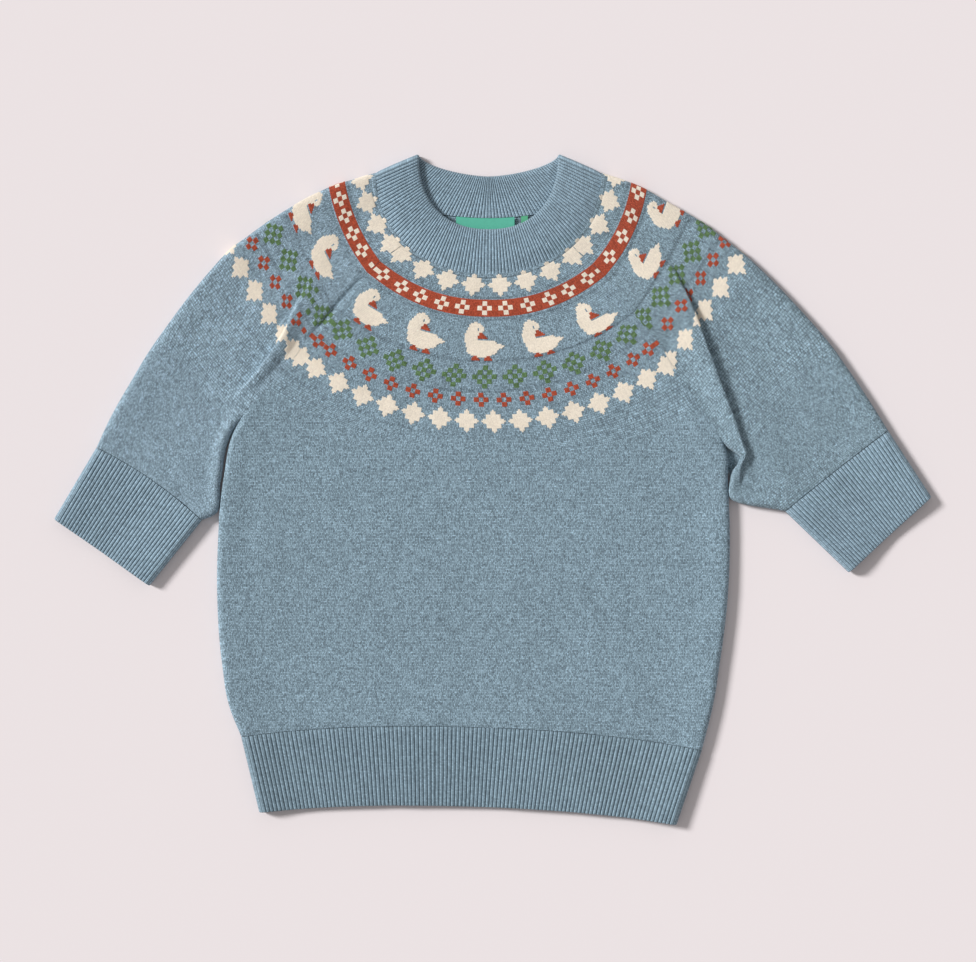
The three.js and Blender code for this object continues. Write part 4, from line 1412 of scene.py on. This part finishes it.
def panel_pieces():
    """The four panels in stocking stitch, and their outer sides to knit motifs on."""
    grids = {
        "front": (front_grid(), False, (4, 4)),
        "back": (back_grid(), True, (2, 2)),
        "right_sleeve": (sleeve_grid(RIGHT_SLEEVE, RIGHT_SLEEVE_COURSES, "left"), True, (4, 2)),
        "left_sleeve": (sleeve_grid(LEFT_SLEEVE, LEFT_SLEEVE_COURSES, "right"), False, (4, 2)),
    }
    pieces, cloths = {}, {}
    for node, ((points, courses, stitches, zero, edge), flip, steps) in grids.items():
        blue = knit_material(
            f"blue_{node}", linear(*BLUES_WITH_PAINTED_LIGHT[node]), PANEL_FLECK, PANEL_SHADE, dark_courses=DARK_COURSES)
        piece = shell(f"{node}_knit", points, stitches, CLOTH, flip, steps)
        pieces[node] = dress(piece, blue)
        cloths[node] = Cloth(points, courses, flip, zero, edge)
    return pieces, cloths


def motif_pieces(cloths):
    """The motif stitches of each panel, one piece for each yarn."""
    yarns = {
        yarn: knit_material(f"{yarn}_yarn", linear(*colour), *numbers)
        for yarn, (colour, *numbers) in MOTIF_YARNS.items()
    }
    pieces = {}
    for panel, cloth in cloths.items():
        pieces[panel] = [
            dress(stitch_mesh(f"{panel}_{yarn}_stitches", cloth, cells), yarns[yarn])
            for yarn, cells in motif_cells(cloth, panel).items()
        ]
    return pieces


def rib_pieces():
    """The hem ribs, the cuffs and the neckband."""
    yarns = {
        yarn: knit_material(f"blue_{yarn}", linear(*colour), *numbers)
        for yarn, (colour, *numbers) in RIB_YARNS.items()
    }
    grids = {
        "hem_rib_front": (hem_grid(True), False, "hem"),
        "hem_rib_back": (hem_grid(False), True, "hem"),
        "right_cuff": (cuff_grid(RIGHT_CUFF), True, "rib"),
        "left_cuff": (cuff_grid(LEFT_CUFF), False, "rib"),
    }
    pieces = {}
    for node, ((points, stitches), flip, yarn) in grids.items():
        points, stitches = curl_end(points, stitches, flip)
        piece = shell(f"{node}_knit", points, stitches, RIB_CLOTH, flip, (6, 4), CURL_STEPS)
        pieces[node] = dress(piece, yarns[yarn])
    pieces["neckband"] = dress(neckband(), yarns["band"])
    return pieces


def label_pieces():
    """The bare neck label and the size tab beside it."""
    label = label_piece("neck_label_woven", -23.7, 38.0, 19.0)
    tab = label_piece("size_tab_woven", 18.6, 4.4, 8.0)
    return {
        "neck_label": dress(label, woven_material("green_label", linear(83, 178, 153))),
        "size_tab": dress(tab, woven_material("green_tab", linear(83, 170, 130))),
    }


def build():
    pieces, cloths = panel_pieces()
    motifs = motif_pieces(cloths)
    pieces.update(rib_pieces())
    pieces.update(label_pieces())
    for node, piece in pieces.items():
        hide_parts(node)
    declare(pieces, motifs)


# Floor, light and camera

FLOOR_COLOUR = (0.823, 0.759, 0.767)
FLOOR_REACH = 6.0
SUN_STRENGTH = 3.55
SUN_ELEVATION = 34
SUN_AZIMUTH = 158
SUN_SIZE = 14
FILL = 0.38

LENS = 100.0
SENSOR = 36.0
VIEW_WIDTH = 634.4
VIEW_CENTRE = (-3.075, 5.126)
VIEW_HEIGHT = 5.0


def placed(name, data):
    """An object in the scene that holds this data."""
    made = bpy.data.objects.new(name, data)
    bpy.context.scene.collection.objects.link(made)
    return made


def floor():
    mesh = bpy.data.meshes.new("floor")
    corners = [(x * FLOOR_REACH, y * FLOOR_REACH, 0) for x, y in ((-1, -1), (1, -1), (1, 1), (-1, 1))]
    mesh.from_pydata(corners, [], [(0, 1, 2, 3)])
    n = Nodes("pale_floor")
    n.finish({"Base Color": (*FLOOR_COLOUR, 1), "Roughness": 1.0, "Specular IOR Level": 0.0})
    mesh.materials.append(n.material)
    placed("floor", mesh)


def light():
    world = bpy.data.worlds.new("pale_studio")
    world.use_nodes = True
    background = world.node_tree.nodes["Background"]
    background.inputs["Color"].default_value = (1.0, 0.985, 0.985, 1)
    background.inputs["Strength"].default_value = FILL
    bpy.context.scene.world = world
    data = bpy.data.lights.new("window", "SUN")
    data.energy = SUN_STRENGTH
    data.angle = math.radians(SUN_SIZE)
    placed("window", data).rotation_euler = (0, math.radians(90 - SUN_ELEVATION), math.radians(SUN_AZIMUTH))


def camera():
    data = bpy.data.cameras.new("camera")
    data.lens = LENS
    data.sensor_width = SENSOR
    data.clip_end = 10
    eye = placed("camera", data)
    distance = VIEW_WIDTH * LENS / SENSOR + VIEW_HEIGHT
    eye.location = (VIEW_CENTRE[0] * MM, VIEW_CENTRE[1] * MM, distance * MM)
    bpy.context.scene.camera = eye


camera()
floor()
light()
bpy.context.scene.view_settings.view_transform = "Standard"
build()
